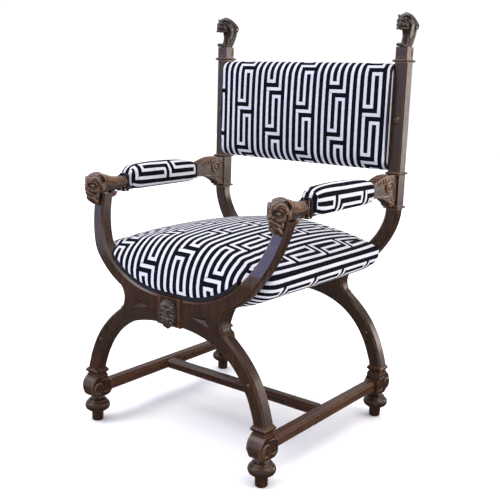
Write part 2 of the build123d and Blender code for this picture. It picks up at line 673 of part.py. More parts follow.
def head_side():
    """A lion's head with its beard and its mane, in Y and Z."""
    front_y, under, over = RAIL_FRONT
    brow = (HEAD_FRONT_Y + 5, HEAD_TOP_Z - 13)
    lip = (HEAD_FRONT_Y + 1, ARM_SEAT_Z)
    beard = (HEAD_FRONT_Y + 35, BEARD_Z)
    crown = (-FRAME_Y, HEAD_TOP_Z)
    with BuildLine() as outline:
        Line((front_y, under), (front_y, over))
        Spline((front_y, over), (HEAD_BACK_Y, HEAD_TOP_Z - 3), crown, tangents=((-1, 0), (-1, 0)))
        ThreePointArc(crown, (HEAD_FRONT_Y + 13, HEAD_TOP_Z - 4), brow)
        ThreePointArc(brow, (HEAD_FRONT_Y, HEAD_TOP_Z - 34), lip)
        ThreePointArc(lip, (HEAD_FRONT_Y + 15, BEARD_Z + 14), beard)
        Line(beard, (-FRAME_Y + BOARD, BEARD_Z + 10))
        Line((-FRAME_Y + BOARD, BEARD_Z + 10), (-FRAME_Y + 2 * BOARD, under))
        Line((-FRAME_Y + 2 * BOARD, under), (front_y, under))
    return outline.edges()


def head_plan():
    """The same head seen from above: full at the face, narrow where the rail begins."""
    front_y = RAIL_FRONT[0]
    rail_side = (RAIL_X + RAIL_W / 2 + 3, front_y)
    cheek = (ARM_X + HEAD_W / 2, HEAD_BACK_Y)
    with BuildLine() as outline:
        ThreePointArc((ARM_X, HEAD_FRONT_Y - 2), (cheek[0] - 6, HEAD_FRONT_Y + 14), cheek)
        Spline(cheek, (cheek[0] - 7, front_y - 26), rail_side, tangents=((0, 1), (0, 1)))
        Line(rail_side, (ARM_X, front_y))
        mirror(about=Plane.YZ.offset(ARM_X))
    return outline.edges()


with BuildPart() as arm_head:
    with BuildSketch(Plane.YZ.offset(ARM_X)):
        make_face(head_side())
    extrude(amount=HEAD_W, both=True)
    with BuildSketch():
        make_face(head_plan())
    extrude(amount=2 * ARM_SEAT_Z, mode=Mode.INTERSECT)
    with BuildSketch(Plane.XZ):
        with BuildLine():
            jaw = (ARM_X + HEAD_W / 2, ARM_SEAT_Z + 22)
            Line((ARM_X, BEARD_Z), (ARM_X + 10, BEARD_Z))
            ThreePointArc((ARM_X + 10, BEARD_Z), (jaw[0] - 5, ARM_SEAT_Z - 8), jaw)
            ThreePointArc(jaw, (jaw[0] - 6, HEAD_TOP_Z - 10), (ARM_X + 5, HEAD_TOP_Z))
            Line((ARM_X + 5, HEAD_TOP_Z), (ARM_X, HEAD_TOP_Z))
            mirror(about=Plane.YZ.offset(ARM_X))
        make_face()
    extrude(amount=2 * FRAME_Y, mode=Mode.INTERSECT)
    # the leaf that hangs behind the upright
    with BuildSketch(Plane.YZ.offset(ARM_X)):
        with BuildLine():
            leaf_y, leaf_z = RAIL_FRONT[0] - 8, RAIL_FRONT[1] + 8
            ThreePointArc((leaf_y, leaf_z), (leaf_y - 22, leaf_z - 18), (leaf_y - 44, leaf_z))
            Line((leaf_y - 44, leaf_z), (leaf_y, leaf_z))
        make_face()
    extrude(amount=LEAF_W / 2, both=True)
    add(front_half.part, mode=Mode.SUBTRACT)
save_pair(arm_head, "arm_head")


def sleeve(front_y, rear_y, width, bottom_z, top_z, corner):
    """A rounded block round the rail, bored for it with the soft gap."""
    with BuildPart() as block:
        with Locations((RAIL_X, (front_y + rear_y) / 2, (bottom_z + top_z) / 2)):
            Box(width, rear_y - front_y, top_z - bottom_z)
        fillet(block.edges().filter_by(Axis.Y), corner)
        with BuildSketch(Plane.YZ.offset(RAIL_X)):
            make_face(rail_edges())
            offset(amount=SOFT_GAP)
        extrude(amount=RAIL_W / 2 + SOFT_GAP, both=True, mode=Mode.SUBTRACT)
    return block


with BuildPart() as arm_pad:
    add(sleeve(PAD_FRONT_Y, PAD_REAR_Y, PAD_W, PAD_BOTTOM_Z, PAD_TOP_Z, PAD_W / 4).part)
save_pair(arm_pad, "arm_pad")

PAD_HEAD = PAD_FRONT_Y - SOFT_GAP
PAD_TAIL = PAD_REAR_Y + SOFT_GAP
BAND_W = RAIL_W + 14
arm_front_band = sleeve(
    PAD_HEAD - BAND_T, PAD_HEAD, BAND_W, RAIL_FRONT[1] - 4, RAIL_FRONT[2] + 6, BAND_CORNER
)
arm_rear_band = sleeve(
    PAD_TAIL, PAD_TAIL + BAND_T / 2, BAND_W, RAIL_REAR[1] - 5, RAIL_REAR[2] + 4, BAND_CORNER
)
save_pair(arm_front_band, "arm_front_band")
save_pair(arm_rear_band, "arm_rear_band")


# --- seat ---
def seat_section(inset):
    """The barrel's section: a shallow keel, a turn up into the sides, and tall shoulders that the
    crown cuts off."""
    keel = (SEAT_KEEL[0] - inset / 2, SEAT_KEEL[1] + inset)
    side = SEAT_HALF_W - inset
    with BuildLine() as half:
        swing((0, SEAT_BOTTOM_Z + inset), 0, 0.4, keel, 22, 0.3)
        swing(keel, 24, 0.38, (side, SEAT_SHOULDER_Z), 90, 0.38)
        Polyline((side, SEAT_SHOULDER_Z), (side, SEAT_CROWN_Z + 1), (0, SEAT_CROWN_Z + 1))
        mirror(about=Plane.YZ)
    return half.edges()


def u_opening(side, inset, top_z):
    """The space inside a frame's U, inset from the boards and closed at top_z."""
    top, swell = (FRONT_TOP, FRONT_SWELL[0]) if side < 0 else (REAR_TOP, REAR_SWELL[0])
    with BuildSketch() as opening:
        with BuildLine():
            Line((0, SEAT_U_Z + inset), (BLOCK_HALF, SEAT_U_Z + inset))
            u_curve(*top, swell, inset)
            Line((top[0] - UPRIGHT_W / 2 - inset, top[1]), (0, top[1]))
            mirror(about=Plane.YZ)
        make_face()
        with Locations((0, top_z)):
            Rectangle(3 * ARM_X, SEAT_CROWN_Z, align=(Align.CENTER, Align.MIN), mode=Mode.SUBTRACT)
    return opening.sketch


def seat_form(inset):
    """The upholstered body: a barrel between the frames and a panel in each frame's U, under one
    domed crown. inset shrinks it on every side."""
    gap = SOFT_GAP + inset
    with BuildPart() as form:
        with BuildSketch(Plane.XZ):
            make_face(seat_section(inset))
        extrude(amount=FRAME_BACK, both=True)
        with BuildSketch(Plane.YZ):
            with BuildLine():
                front = lean_path(BOARD / 2 + gap)
                rear_y = FRAME_BACK - gap
                Polyline(front @ 1, (rear_y, (front @ 1).Y), (rear_y, (front @ 0).Y), front @ 0)
            make_face()
        extrude(amount=SEAT_HALF_W, both=True, mode=Mode.INTERSECT)
        for side in (-1, 1):
            with BuildSketch(Plane.XZ):
                add(u_opening(side, gap, PANEL_TOP_Z - inset))
            extrude(amount=-side * (PANEL_Y[side] - inset))
        # the crown across the chair, then the rolled edges at the front and the rear
        with Locations((0, 0, SEAT_CROWN_Z - SEAT_CROWN_R)):
            Cylinder(SEAT_CROWN_R - inset, 3 * FRAME_Y, rotation=(90, 0, 0), mode=Mode.INTERSECT)
        with BuildSketch(Plane.YZ):
            with BuildLine():
                front, rear = inset - PANEL_Y[-1], PANEL_Y[1] - inset
                top, shoulder = SEAT_CROWN_Z - inset, SEAT_CROWN_Z - SEAT_ROLL
                roll = SEAT_ROLL - inset
                Line((front, 0), (front, shoulder))
                RadiusArc((front, shoulder), (front + roll, top), roll)
                Line((front + roll, top), (rear - roll, top))
                RadiusArc((rear - roll, top), (rear, shoulder), roll)
                Polyline((rear, shoulder), (rear, 0), (front, 0))
            make_face()
        extrude(amount=SEAT_HALF_W, both=True, mode=Mode.INTERSECT)
    return form


def dust_opening(gap):
    """The strip under the barrel that the dust cloth closes."""
    with BuildPart() as strip:
        with Locations((0, 0, SEAT_BOTTOM_Z)):
            Box(2 * (DUST_HALF_W - gap), 2 * (FRAME_BACK - DUST_MARGIN - gap), 20)
    return strip


with BuildPart() as seat_cover:
    add(seat_form(0).part)
    add(seat_form(COVER_T).part, mode=Mode.SUBTRACT)
    add(dust_opening(0).part, mode=Mode.SUBTRACT)
    for x, z in (UPPER_RAIL, LOWER_RAIL):
        with Locations((x, 0, z), (-x, 0, z)):
            rail_hole = SEAT_RAIL + 2 * SOFT_GAP
            Box(rail_hole, 2 * FRAME_BACK, rail_hole, mode=Mode.SUBTRACT)
save(seat_cover, "seat_cover")

with BuildPart() as seat_dust_cloth:
    add(seat_form(0).part)
    add(seat_form(CLOTH_T).part, mode=Mode.SUBTRACT)
    add(dust_opening(SOFT_GAP).part, mode=Mode.INTERSECT)
save(seat_dust_cloth, "seat_dust_cloth")


def seat_rail(x, z):
    with BuildPart() as rail:
        with Locations((x, 0, z)):
            Box(SEAT_RAIL, 2 * FRAME_BACK, SEAT_RAIL)
        chamfer(rail.edges().filter_by(Axis.Y), 2)
    return rail


save_pair(seat_rail(*UPPER_RAIL), "seat_upper_rail")
save_pair(seat_rail(*LOWER_RAIL), "seat_lower_rail")

WEB_Z = UPPER_RAIL[1] + SEAT_RAIL / 2
with BuildPart() as seat_webbing:
    with Locations((0, 0, WEB_Z + WEB_T / 2)):
        with GridLocations(0, (2 * FRAME_BACK - WEB_W) / SEAT_WEBS, 1, SEAT_WEBS):
            Box(2 * UPPER_RAIL[0] + SEAT_RAIL, WEB_W, WEB_T)
save(seat_webbing, "seat_webbing")

with BuildPart() as seat_stuffing:
    add(seat_form(COVER_T + SOFT_GAP).part)
    with Locations((0, 0, WEB_Z + WEB_T + SOFT_GAP)):
        Box(
            3 * SEAT_HALF_W,
            3 * FRAME_Y,
            SEAT_CROWN_Z,
            align=(Align.CENTER, Align.CENTER, Align.MIN),
            mode=Mode.INTERSECT,
        )
save(seat_stuffing, "seat_stuffing")


# braid that follows the U on the front panel's face
with BuildPart() as seat_front_gimp:
    with BuildSketch(Plane.XZ.offset(PANEL_Y[-1] + SOFT_GAP)):
        add(u_opening(-1, SOFT_GAP, GIMP_TOP_Z))
        add(u_opening(-1, SOFT_GAP + GIMP_W, PANEL_TOP_Z), mode=Mode.SUBTRACT)
    extrude(amount=GIMP_T)
save(seat_front_gimp, "seat_front_gimp")


# --- back ---
BACK_HALF_W = POST_X - POST_W / 2
BACK_RAILS = {
    "back_bottom_rail": BACK_BOTTOM_Z + BACK_RAIL_MARGIN + BACK_RAIL_H / 2,
    "back_top_rail": BACK_TOP_Z - BACK_RAIL_MARGIN - BACK_RAIL_H / 2,
}


def back_form(inset):
    """The back's pad: rolled over at the top and the bottom, with a slight crown in front."""
    front, rear = BACK_FRONT_Y + inset, BACK_REAR_Y - inset
    low, high = BACK_BOTTOM_Z + inset, BACK_TOP_Z - inset
    roll = BACK_ROLL
    with BuildPart() as pad:
        with BuildSketch(Plane.YZ):
            with BuildLine():
                edge = front + BACK_CROWN
                ThreePointArc((edge, low + roll), (front, (low + high) / 2), (edge, high - roll))
                RadiusArc((edge, high - roll), (edge + roll, high), roll)
                Polyline((edge + roll, high), (rear, high), (rear, low), (edge + roll, low))
                RadiusArc((edge + roll, low), (edge, low + roll), roll)
            make_face()
        extrude(amount=BACK_HALF_W - SOFT_GAP - inset, both=True)
    return pad


with BuildPart() as back_cover:
    add(back_form(0).part)
    add(back_form(COVER_T).part, mode=Mode.SUBTRACT)
    for z in BACK_RAILS.values():
        with Locations((0, BACK_RAIL_Y, z)):
            Box(
                2 * BACK_HALF_W,
                BACK_RAIL_D + 2 * SOFT_GAP,
                BACK_RAIL_H + 2 * SOFT_GAP,
                mode=Mode.SUBTRACT,
            )
save(back_cover, "back_cover")

for name, z in BACK_RAILS.items():
    with BuildPart() as back_rail:
        with Locations((0, BACK_RAIL_Y, z)):
            Box(2 * BACK_HALF_W, BACK_RAIL_D, BACK_RAIL_H)
        chamfer(back_rail.edges().filter_by(Axis.X), 2)
    save(back_rail, name)

WEB_Y = BACK_RAIL_Y - BACK_RAIL_D / 2
with BuildPart() as back_webbing:
    with Locations((0, WEB_Y - WEB_T / 2, (BACK_BOTTOM_Z + BACK_TOP_Z) / 2)):
        with GridLocations(2 * BACK_HALF_W / BACK_WEBS, 0, BACK_WEBS, 1):
            Box(WEB_W, WEB_T, BACK_TOP_Z - BACK_BOTTOM_Z - 20)
save(back_webbing, "back_webbing")

with BuildPart() as back_stuffing:
    add(back_form(COVER_T + SOFT_GAP).part)
    with Locations((0, WEB_Y - WEB_T - SOFT_GAP, 0)):
        Box(
            3 * BACK_HALF_W,
            FRAME_Y,
            3 * BACK_TOP_Z,
            align=(Align.CENTER, Align.MAX, Align.CENTER),
            mode=Mode.INTERSECT,
        )
save(back_stuffing, "back_stuffing")
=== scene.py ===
import math

import bmesh
import bpy
import numpy as np
from mathutils import Matrix, Vector


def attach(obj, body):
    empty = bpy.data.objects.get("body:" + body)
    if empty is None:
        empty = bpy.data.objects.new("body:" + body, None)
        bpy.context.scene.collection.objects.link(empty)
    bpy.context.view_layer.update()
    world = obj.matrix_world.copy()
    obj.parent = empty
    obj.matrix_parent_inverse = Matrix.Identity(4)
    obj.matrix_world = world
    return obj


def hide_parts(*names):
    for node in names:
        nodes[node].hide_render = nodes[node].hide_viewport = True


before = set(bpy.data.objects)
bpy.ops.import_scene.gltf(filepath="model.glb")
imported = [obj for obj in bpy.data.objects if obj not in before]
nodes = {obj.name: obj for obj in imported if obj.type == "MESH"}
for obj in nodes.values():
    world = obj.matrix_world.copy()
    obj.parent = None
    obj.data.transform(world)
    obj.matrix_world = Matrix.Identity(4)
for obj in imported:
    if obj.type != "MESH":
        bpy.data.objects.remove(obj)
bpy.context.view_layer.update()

MM = 0.001

# ---- sizes that part.py settled, mm
ARM_X, RAIL_X, FOOT_X, POST_X, FRAME_Y = 290.0, 292.0, 277.0, 294.0, 265.0
U_Z, U_HALF = 398.0, 39.0  # lowest point of a frame's U, and half its flat bottom
LEAN_Z, LEAN = 469.0, math.tan(math.radians(16.7))  # the front uprights lean back above LEAN_Z
CROWN_Z, CROWN_R = 543.0, 760.0  # top of the seat and its radius across the chair


# ---- camera and lights
def add_object(name, data):
    ob = bpy.data.objects.new(name, data)
    bpy.context.scene.collection.objects.link(ob)
    return ob


def camera():
    forward = Vector((-0.5936940, 0.7774295, -0.2076796))
    up = Vector((-0.1506873, 0.1461114, 0.9777243))
    right = forward.cross(up)
    data = bpy.data.cameras.new("camera")
    data.sensor_width = 36.0
    data.lens = 57.1737
    data.clip_start = 0.05
    ob = add_object("camera", data)
    turn = Matrix((right, up, -forward)).transposed().to_4x4()
    ob.matrix_world = Matrix.Translation((1.2585136, -1.6200143, 0.9063651)) @ turn
    bpy.context.scene.camera = ob


def area_light(name, place, target, size, power, colour):
    data = bpy.data.lights.new(name, "AREA")
    data.shape = "RECTANGLE"
    data.size, data.size_y = size
    data.energy = power
    data.color = colour
    ob = add_object(name, data)
    ob.location = place
    ob.rotation_mode = "QUATERNION"
    ob.rotation_quaternion = (Vector(target) - Vector(place)).to_track_quat("-Z", "Y")


# ---- meshes
def fetch(items, what, width=1, kind=float):
    """One attribute of all items, as an array with width columns."""
    out = np.zeros(len(items) * width, kind)
    items.foreach_get(what, out)
    return out.reshape(-1, width) if width > 1 else out


def soften(mesh):
    mesh.polygons.foreach_set("use_smooth", [True] * len(mesh.polygons))


def mesh_object(name, verts, faces, material):
    """A mesh from points in mm."""
    mesh = bpy.data.meshes.new(name)
    mesh.from_pydata((np.asarray(verts, float) * MM).tolist(), [], [list(f) for f in faces])
    mesh.update()
    mesh.materials.append(material)
    soften(mesh)
    return add_object(name, mesh)


def points_of(ob):
    return fetch(ob.data.vertices, "co", 3) / MM


def set_points(ob, co):
    ob.data.vertices.foreach_set("co", (np.asarray(co) * MM).ravel())
    ob.data.update()


def apply_modifiers(ob):
    graph = bpy.context.evaluated_depsgraph_get()
    made = bpy.data.meshes.new_from_object(ob.evaluated_get(graph), depsgraph=graph)
    old, ob.data = ob.data, made
    ob.modifiers.clear()
    name = old.name
    bpy.data.meshes.remove(old)
    made.name = name
    soften(made)


def remesh(ob, voxel, smoothing, factor=0.5):
    voxels = ob.modifiers.new("voxels", "REMESH")
    voxels.mode = "VOXEL"
    voxels.voxel_size = voxel * MM
    smooth = ob.modifiers.new("smooth", "SMOOTH")
    smooth.factor = factor
    smooth.iterations = smoothing
    apply_modifiers(ob)


def subdivide(ob):
    ob.modifiers.new("subdivision", "SUBSURF").levels = 1
    apply_modifiers(ob)
    return ob


def flipped(ob, name, across=-1, along=1):
    """A copy mirrored in X, in Y, or in both."""
    mesh = ob.data.copy()
    mesh.name = name
    mesh.transform(Matrix.Diagonal((across, along, 1, 1)))
    if across * along < 0:
        mesh.flip_normals()
    return add_object(name, mesh)


def finish_piece(ob, slot, *replaced):
    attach(ob, "root")
    if replaced:
        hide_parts(*replaced)


def finish_pair(ob, slot, *replaced):
    """Finishes a right piece and its mirror image; {} in a CAD node's name stands for the side."""
    left = flipped(ob, ob.name.replace("right", "left"))
    for piece, side in ((left, "left"), (ob, "right")):
        finish_piece(piece, slot, *(name.format(side) for name in replaced))


# ---- curves
def heading(degrees):
    return np.array([math.cos(math.radians(degrees)), math.sin(math.radians(degrees))])


def cubic(start, leave, reach_out, end, arrive, reach_in, count):
    """A Bezier curve by its ends, its headings there, and how far each reaches along the chord."""
    a, b = np.array(start, float), np.array(end, float)
    chord = np.linalg.norm(b - a)
    p1, p2 = a + chord * reach_out * heading(leave), b - chord * reach_in * heading(arrive)
    t = np.linspace(0, 1, count)[:, None]
    return (1 - t) ** 3 * a + 3 * t * (1 - t) ** 2 * p1 + 3 * t * t * (1 - t) * p2 + t ** 3 * b


def u_edge(side, inset, count=80):
    """Inner edge of a frame's U in X and Z, from the block to the top of the upright."""
    top_x, top_z, turn, swell = (ARM_X, 612.0, 85, 0.45) if side < 0 else (POST_X, 588.5, 90, 0.3)
    return cubic((U_HALF, U_Z + inset), 0, 0.35, (top_x - 17.5 - inset, top_z), turn, swell, count)


def smooth_path(points, count):
    """Catmull-Rom through points, at even steps of its parameter."""
    p = np.array(points, float)
    if len(p) == 2:
        t = np.linspace(0, 1, count)[:, None]
        return p[0] * (1 - t) + p[1] * t
    p = np.vstack([2 * p[0] - p[1], p, 2 * p[-1] - p[-2]])
    out = []
    for s in np.linspace(0, len(p) - 3 - 1e-9, count):
        i, t = int(s), s - int(s)
        a, b, c, d = p[i : i + 4]
        bend, twist = 2 * a - 5 * b + 4 * c - d, 3 * b - a - 3 * c + d
        out.append(0.5 * (2 * b + (c - a) * t + bend * t * t + twist * t ** 3))
    return np.array(out)


def columns(*parts):
    """Points by their coordinates, any of which may be one number for all of them."""
    return np.column_stack(np.broadcast_arrays(*parts)).astype(float)


def full_turn(count):
    return np.linspace(0, 2 * math.pi, count, endpoint=False)


def oval(half_a, half_b, power_a, power_b, count):
    """Both coordinates of an oval, from the end of its first axis; powers below 1 square it."""
    c, s = np.cos(full_turn(count)), np.sin(full_turn(count))
    return half_a * np.sign(c) * np.abs(c) ** power_a, half_b * np.sign(s) * np.abs(s) ** power_b


# ---- carving: overlapping forms, made one by a remesh
class Carving:
    def __init__(self):
        self.verts, self.faces = [], []

    def add(self, verts, faces):
        base = len(self.verts)
        self.verts.extend(np.asarray(verts, float).tolist())
        self.faces.extend([[base + i for i in f] for f in faces])

    def loft(self, rings, ends=None, closed=False):
        """Rings of points with one count each. It closes on itself, or has ends: their middles,
        unless they are given."""
        m, size = len(rings[0]), len(rings) * len(rings[0])
        around = [(j, (j + 1) % m) for j in range(m)]
        faces = []
        for i in range(0, size if closed else size - m, m):
            ahead = (i + m) % size
            faces += [(i + j, i + k, ahead + k, ahead + j) for j, k in around]
        if closed:
            self.add(np.vstack(rings), faces)
            return
        if ends is None:
            ends = [np.mean(rings[0], axis=0), np.mean(rings[-1], axis=0)]
        for j, k in around:
            faces += [(size, k, j), (size + 1, size - m + j, size - m + k)]
        self.add(np.vstack([*rings, ends]), faces)

    def ball(self, centre, radii, tip=0, around=18, rows=11):
        """An ellipsoid, tipped about X by tip degrees."""
        turn = np.array(Matrix.Rotation(math.radians(tip), 3, "X"))
        a = full_turn(around)
        angles = [math.pi * i / rows for i in range(rows - 1, 0, -1)]
        rings = [columns(math.sin(b) * np.cos(a), math.sin(b) * np.sin(a), math.cos(b)) for b in angles]
        parts = np.vstack([*rings, (0, 0, -1), (0, 0, 1)]) * np.array(radii, float) @ turn.T + centre
        self.loft(np.split(parts[:-2], len(rings)), parts[-2:])

    def stroke(self, points, radii, sides=10, step=2.5):
        """A round ridge along a smooth path. radii are spread along it."""
        length = np.linalg.norm(np.diff(smooth_path(points, 40), axis=0), axis=1).sum()
        count = max(5, int(length / step))
        path = smooth_path(points, count)
        r = np.interp(np.linspace(0, 1, count), np.linspace(0, 1, len(radii)), radii)
        tangent = np.gradient(path, axis=0)
        tangent /= np.linalg.norm(tangent, axis=1)[:, None]
        side = np.cross(tangent[0], (0.3, 0.2, 1))
        a = full_turn(sides)
        rings = []
        for i in range(count):
            side = side - tangent[i] * (side @ tangent[i])
            side /= np.linalg.norm(side)
            other = np.cross(tangent[i], side)
            rings.append(path[i] + r[i] * (np.outer(np.cos(a), side) + np.outer(np.sin(a), other)))
        lead = path[0] - tangent[0] * r[0] * 0.7 + (rings[0] - path[0]) * 0.5
        tail = path[-1] + tangent[-1] * r[-1] * 0.7 + (rings[-1] - path[-1]) * 0.5
        self.loft([lead, *rings, tail])

    def both(self, maker, *args):
        """The same form at both sides of x = 0 of the carving's own frame."""
        base, first = len(self.verts), len(self.faces)
        maker(*args)
        verts = [(-x, y, z) for x, y, z in self.verts[base:]]
        self.add(verts, [[i - base for i in reversed(f)] for f in self.faces[first:]])

    def ridge(self, points, radii):
        self.both(self.stroke, points, radii)

    def knob(self, centre, radii):
        self.both(self.ball, centre, radii)

    def make(self, name, shift, voxel, smoothing, material):
        """The finished carving, with its own x = 0 moved to shift."""
        ob = mesh_object(name, np.array(self.verts) + (shift, 0, 0), self.faces, material)
        remesh(ob, voxel, smoothing)
        drop_specks(ob)
        add_wear(ob)
        return ob


def lofted(name, material, *lofts, closed=False):
    """One mesh of lofts, each a list of rings."""
    c = Carving()
    for rings in lofts:
        c.loft(rings, closed=closed)
    return mesh_object(name, c.verts, c.faces, material)


def drop_specks(ob, fewest=60):
    """Deletes the tiny closed voids that a remesh leaves inside a form."""
    bm = bmesh.new()
    bm.from_mesh(ob.data)
    left, specks = set(bm.verts), []
    while left:
        seed = left.pop()
        group, edge = [seed], [seed]
        while edge:
            vert = edge.pop()
            for link in vert.link_edges:
                other = link.other_vert(vert)
                if other in left:
                    left.remove(other)
                    edge.append(other)
                    group.append(other)
        if len(group) < fewest:
            specks += group
    bmesh.ops.delete(bm, geom=specks, context="VERTS")
    bm.to_mesh(ob.data)
    bm.free()


def add_wear(ob, rounds=40):
    """How far each point stands out of the smoothed form, in mm, kept as an attribute: high on ridges that
    hands polish, low in the cuts. The carved material paints the ridges with rubbed wear and a painted
    highlight, and the cuts with painted shade."""
    co = points_of(ob)
    a, b = fetch(ob.data.edges, "vertices", 2, int).T
    degree = np.bincount(a, minlength=len(co)) + np.bincount(b, minlength=len(co))
    smooth = co.copy()
    for _ in range(rounds):
        sums = [np.bincount(a, part[b], len(co)) + np.bincount(b, part[a], len(co)) for part in smooth.T]
        smooth = np.column_stack(sums) / degree[:, None]
    proud = np.einsum("ij,ij->i", co - smooth, fetch(ob.data.vertices, "normal", 3))
    layer = ob.data.attributes.new("wear", "FLOAT", "POINT")
    layer.data.foreach_set("value", proud.astype(np.float32))


# ---- materials
class Nodes:
    """The node tree of a new material, or of the given world, with short calls for its nodes."""

    def __init__(self, name, world=None):
        self.owner = world or bpy.data.materials.new(name)
        self.owner.use_nodes = True
        self.tree = self.owner.node_tree

    def fill(self, node, inputs):
        """Sets or links a node's inputs. A colour gets its alpha here."""
        for key, value in inputs.items():
            socket = node.inputs[key]
            if isinstance(value, bpy.types.NodeSocket):
                self.tree.links.new(value, socket)
            else:
                socket.default_value = (*value, 1) if socket.type == "RGBA" else value

    def node(self, kind, inputs, output=0, **settings):
        """Adds a node, its type given without ShaderNode, and returns one of its outputs."""
        n = self.tree.nodes.new("ShaderNode" + kind)
        for k, v in settings.items():
            setattr(n, k, v)
        self.fill(n, inputs)
        return n.outputs[output]

    def math(self, op, *values):
        return self.node("Math", dict(enumerate(values)), operation=op)

    def vector(self, op, inputs, output=0):
        return self.node("VectorMath", inputs, output, operation=op)

    def ramp(self, value, *stops):
        """A colour ramp. Each stop is a place and a colour, or a place and a grey."""
        result = self.node("ValToRGB", {0: value})
        elements = result.node.color_ramp.elements
        while len(elements) < len(stops):
            elements.new(0.5)
        for e, (place, colour) in zip(elements, stops):
            e.position = place
            e.color = (*(colour if isinstance(colour, tuple) else (colour,) * 3), 1)
        return result

    def mix(self, factor, a, b, blend="MIX"):
        return self.node("Mix", {0: factor, 6: a, 7: b}, 2, data_type="RGBA", blend_type=blend)

    def coords(self, scale, turn=(0, 0, 0)):
        """The piece's own coordinates in metres, scaled by a number or by one for each axis."""
        where = self.node("TexCoord", {}, "Object")
        scale = scale if isinstance(scale, tuple) else (scale,) * 3
        return self.node("Mapping", {"Vector": where, "Scale": scale, "Rotation": turn})

    def noise(self, scale, detail=4.0, roughness=0.55, distortion=0.0, turn=(0, 0, 0)):
        inputs = {"Vector": self.coords(scale, turn), "Scale": 1.0, "Detail": detail}
        inputs.update(Roughness=roughness, Distortion=distortion)
        return self.node("TexNoise", inputs, "Fac")

    def wave(self, where, scale, distortion, direction):
        inputs = {"Vector": where, "Scale": scale, "Distortion": distortion}
        return self.node("TexWave", inputs, "Fac", bands_direction=direction)

    def bumps(self, *rows):
        """Bump upon bump, each with its height, strength and distance."""
        normal = {}
        for height, strength, distance in rows:
            inputs = {"Height": height, "Strength": strength, "Distance": distance, **normal}
            normal = {"Normal": self.node("Bump", inputs)}
        return normal["Normal"]

    def shade(self, **inputs):
        """Fills the surface's inputs, named with _ for each space, and returns the material."""
        self.fill(self.tree.nodes["Principled BSDF"], {k.replace("_", " "): v for k, v in inputs.items()})
        return self.owner


def lights():
    scene = bpy.context.scene
    scene.view_settings.view_transform = "Standard"
    scene.world = bpy.data.worlds.new("studio")
    n = Nodes("studio", scene.world)
    height = n.node("SeparateXYZ", {0: n.node("TexCoord", {}, "Generated")}, "Z")
    level = n.math("MULTIPLY_ADD", height, 0.5, 0.5)
    # dark below, white round the horizon, grey above it, and a wide soft light straight overhead
    stops = ((0.40, 0.03), (0.44, 0.40), (0.55, 0.40), (0.66, 0.12), (0.80, 0.12), (0.90, 1.0))
    sky = n.ramp(level, *((place, (grey, grey, grey * 1.04)) for place, grey in stops))
    n.fill(n.tree.nodes["Background"], {"Color": sky, "Strength": 2.6})
    area_light("key", (-1.6, -2.2, 3.3), (0, 0, 0.5), (1.8, 1.8), 46, (1.0, 0.98, 0.95))
    area_light("front_sky", (-2.3, -3.0, 1.9), (0, 0, 0.6), (1.2, 1.2), 46, (0.34, 0.46, 1.0))
    area_light("side", (3.0, 0.6, 2.2), (0, 0, 0.5), (1.6, 1.6), 44, (1.0, 0.90, 0.84))
    area_light("right_low", (2.2, 2.9, 0.9), (0, 0, 0.5), (0.9, 1.2), 27, (1.0, 0.86, 0.80))
    area_light("back", (-0.4, 2.9, 2.6), (0, 0, 0.6), (2.4, 1.6), 14, (0.9, 0.94, 1.0))


DARK = (0.0120, 0.0054, 0.0031)
BROWN = (0.035, 0.0150, 0.0075)
RED = (0.066, 0.0270, 0.0125)
# the ridges' colour on carved pieces: rubbed wear, and a painted highlight where the gloss catches the light
GOLD_WEAR_AND_HIGHLIGHT = (0.185, 0.086, 0.040)


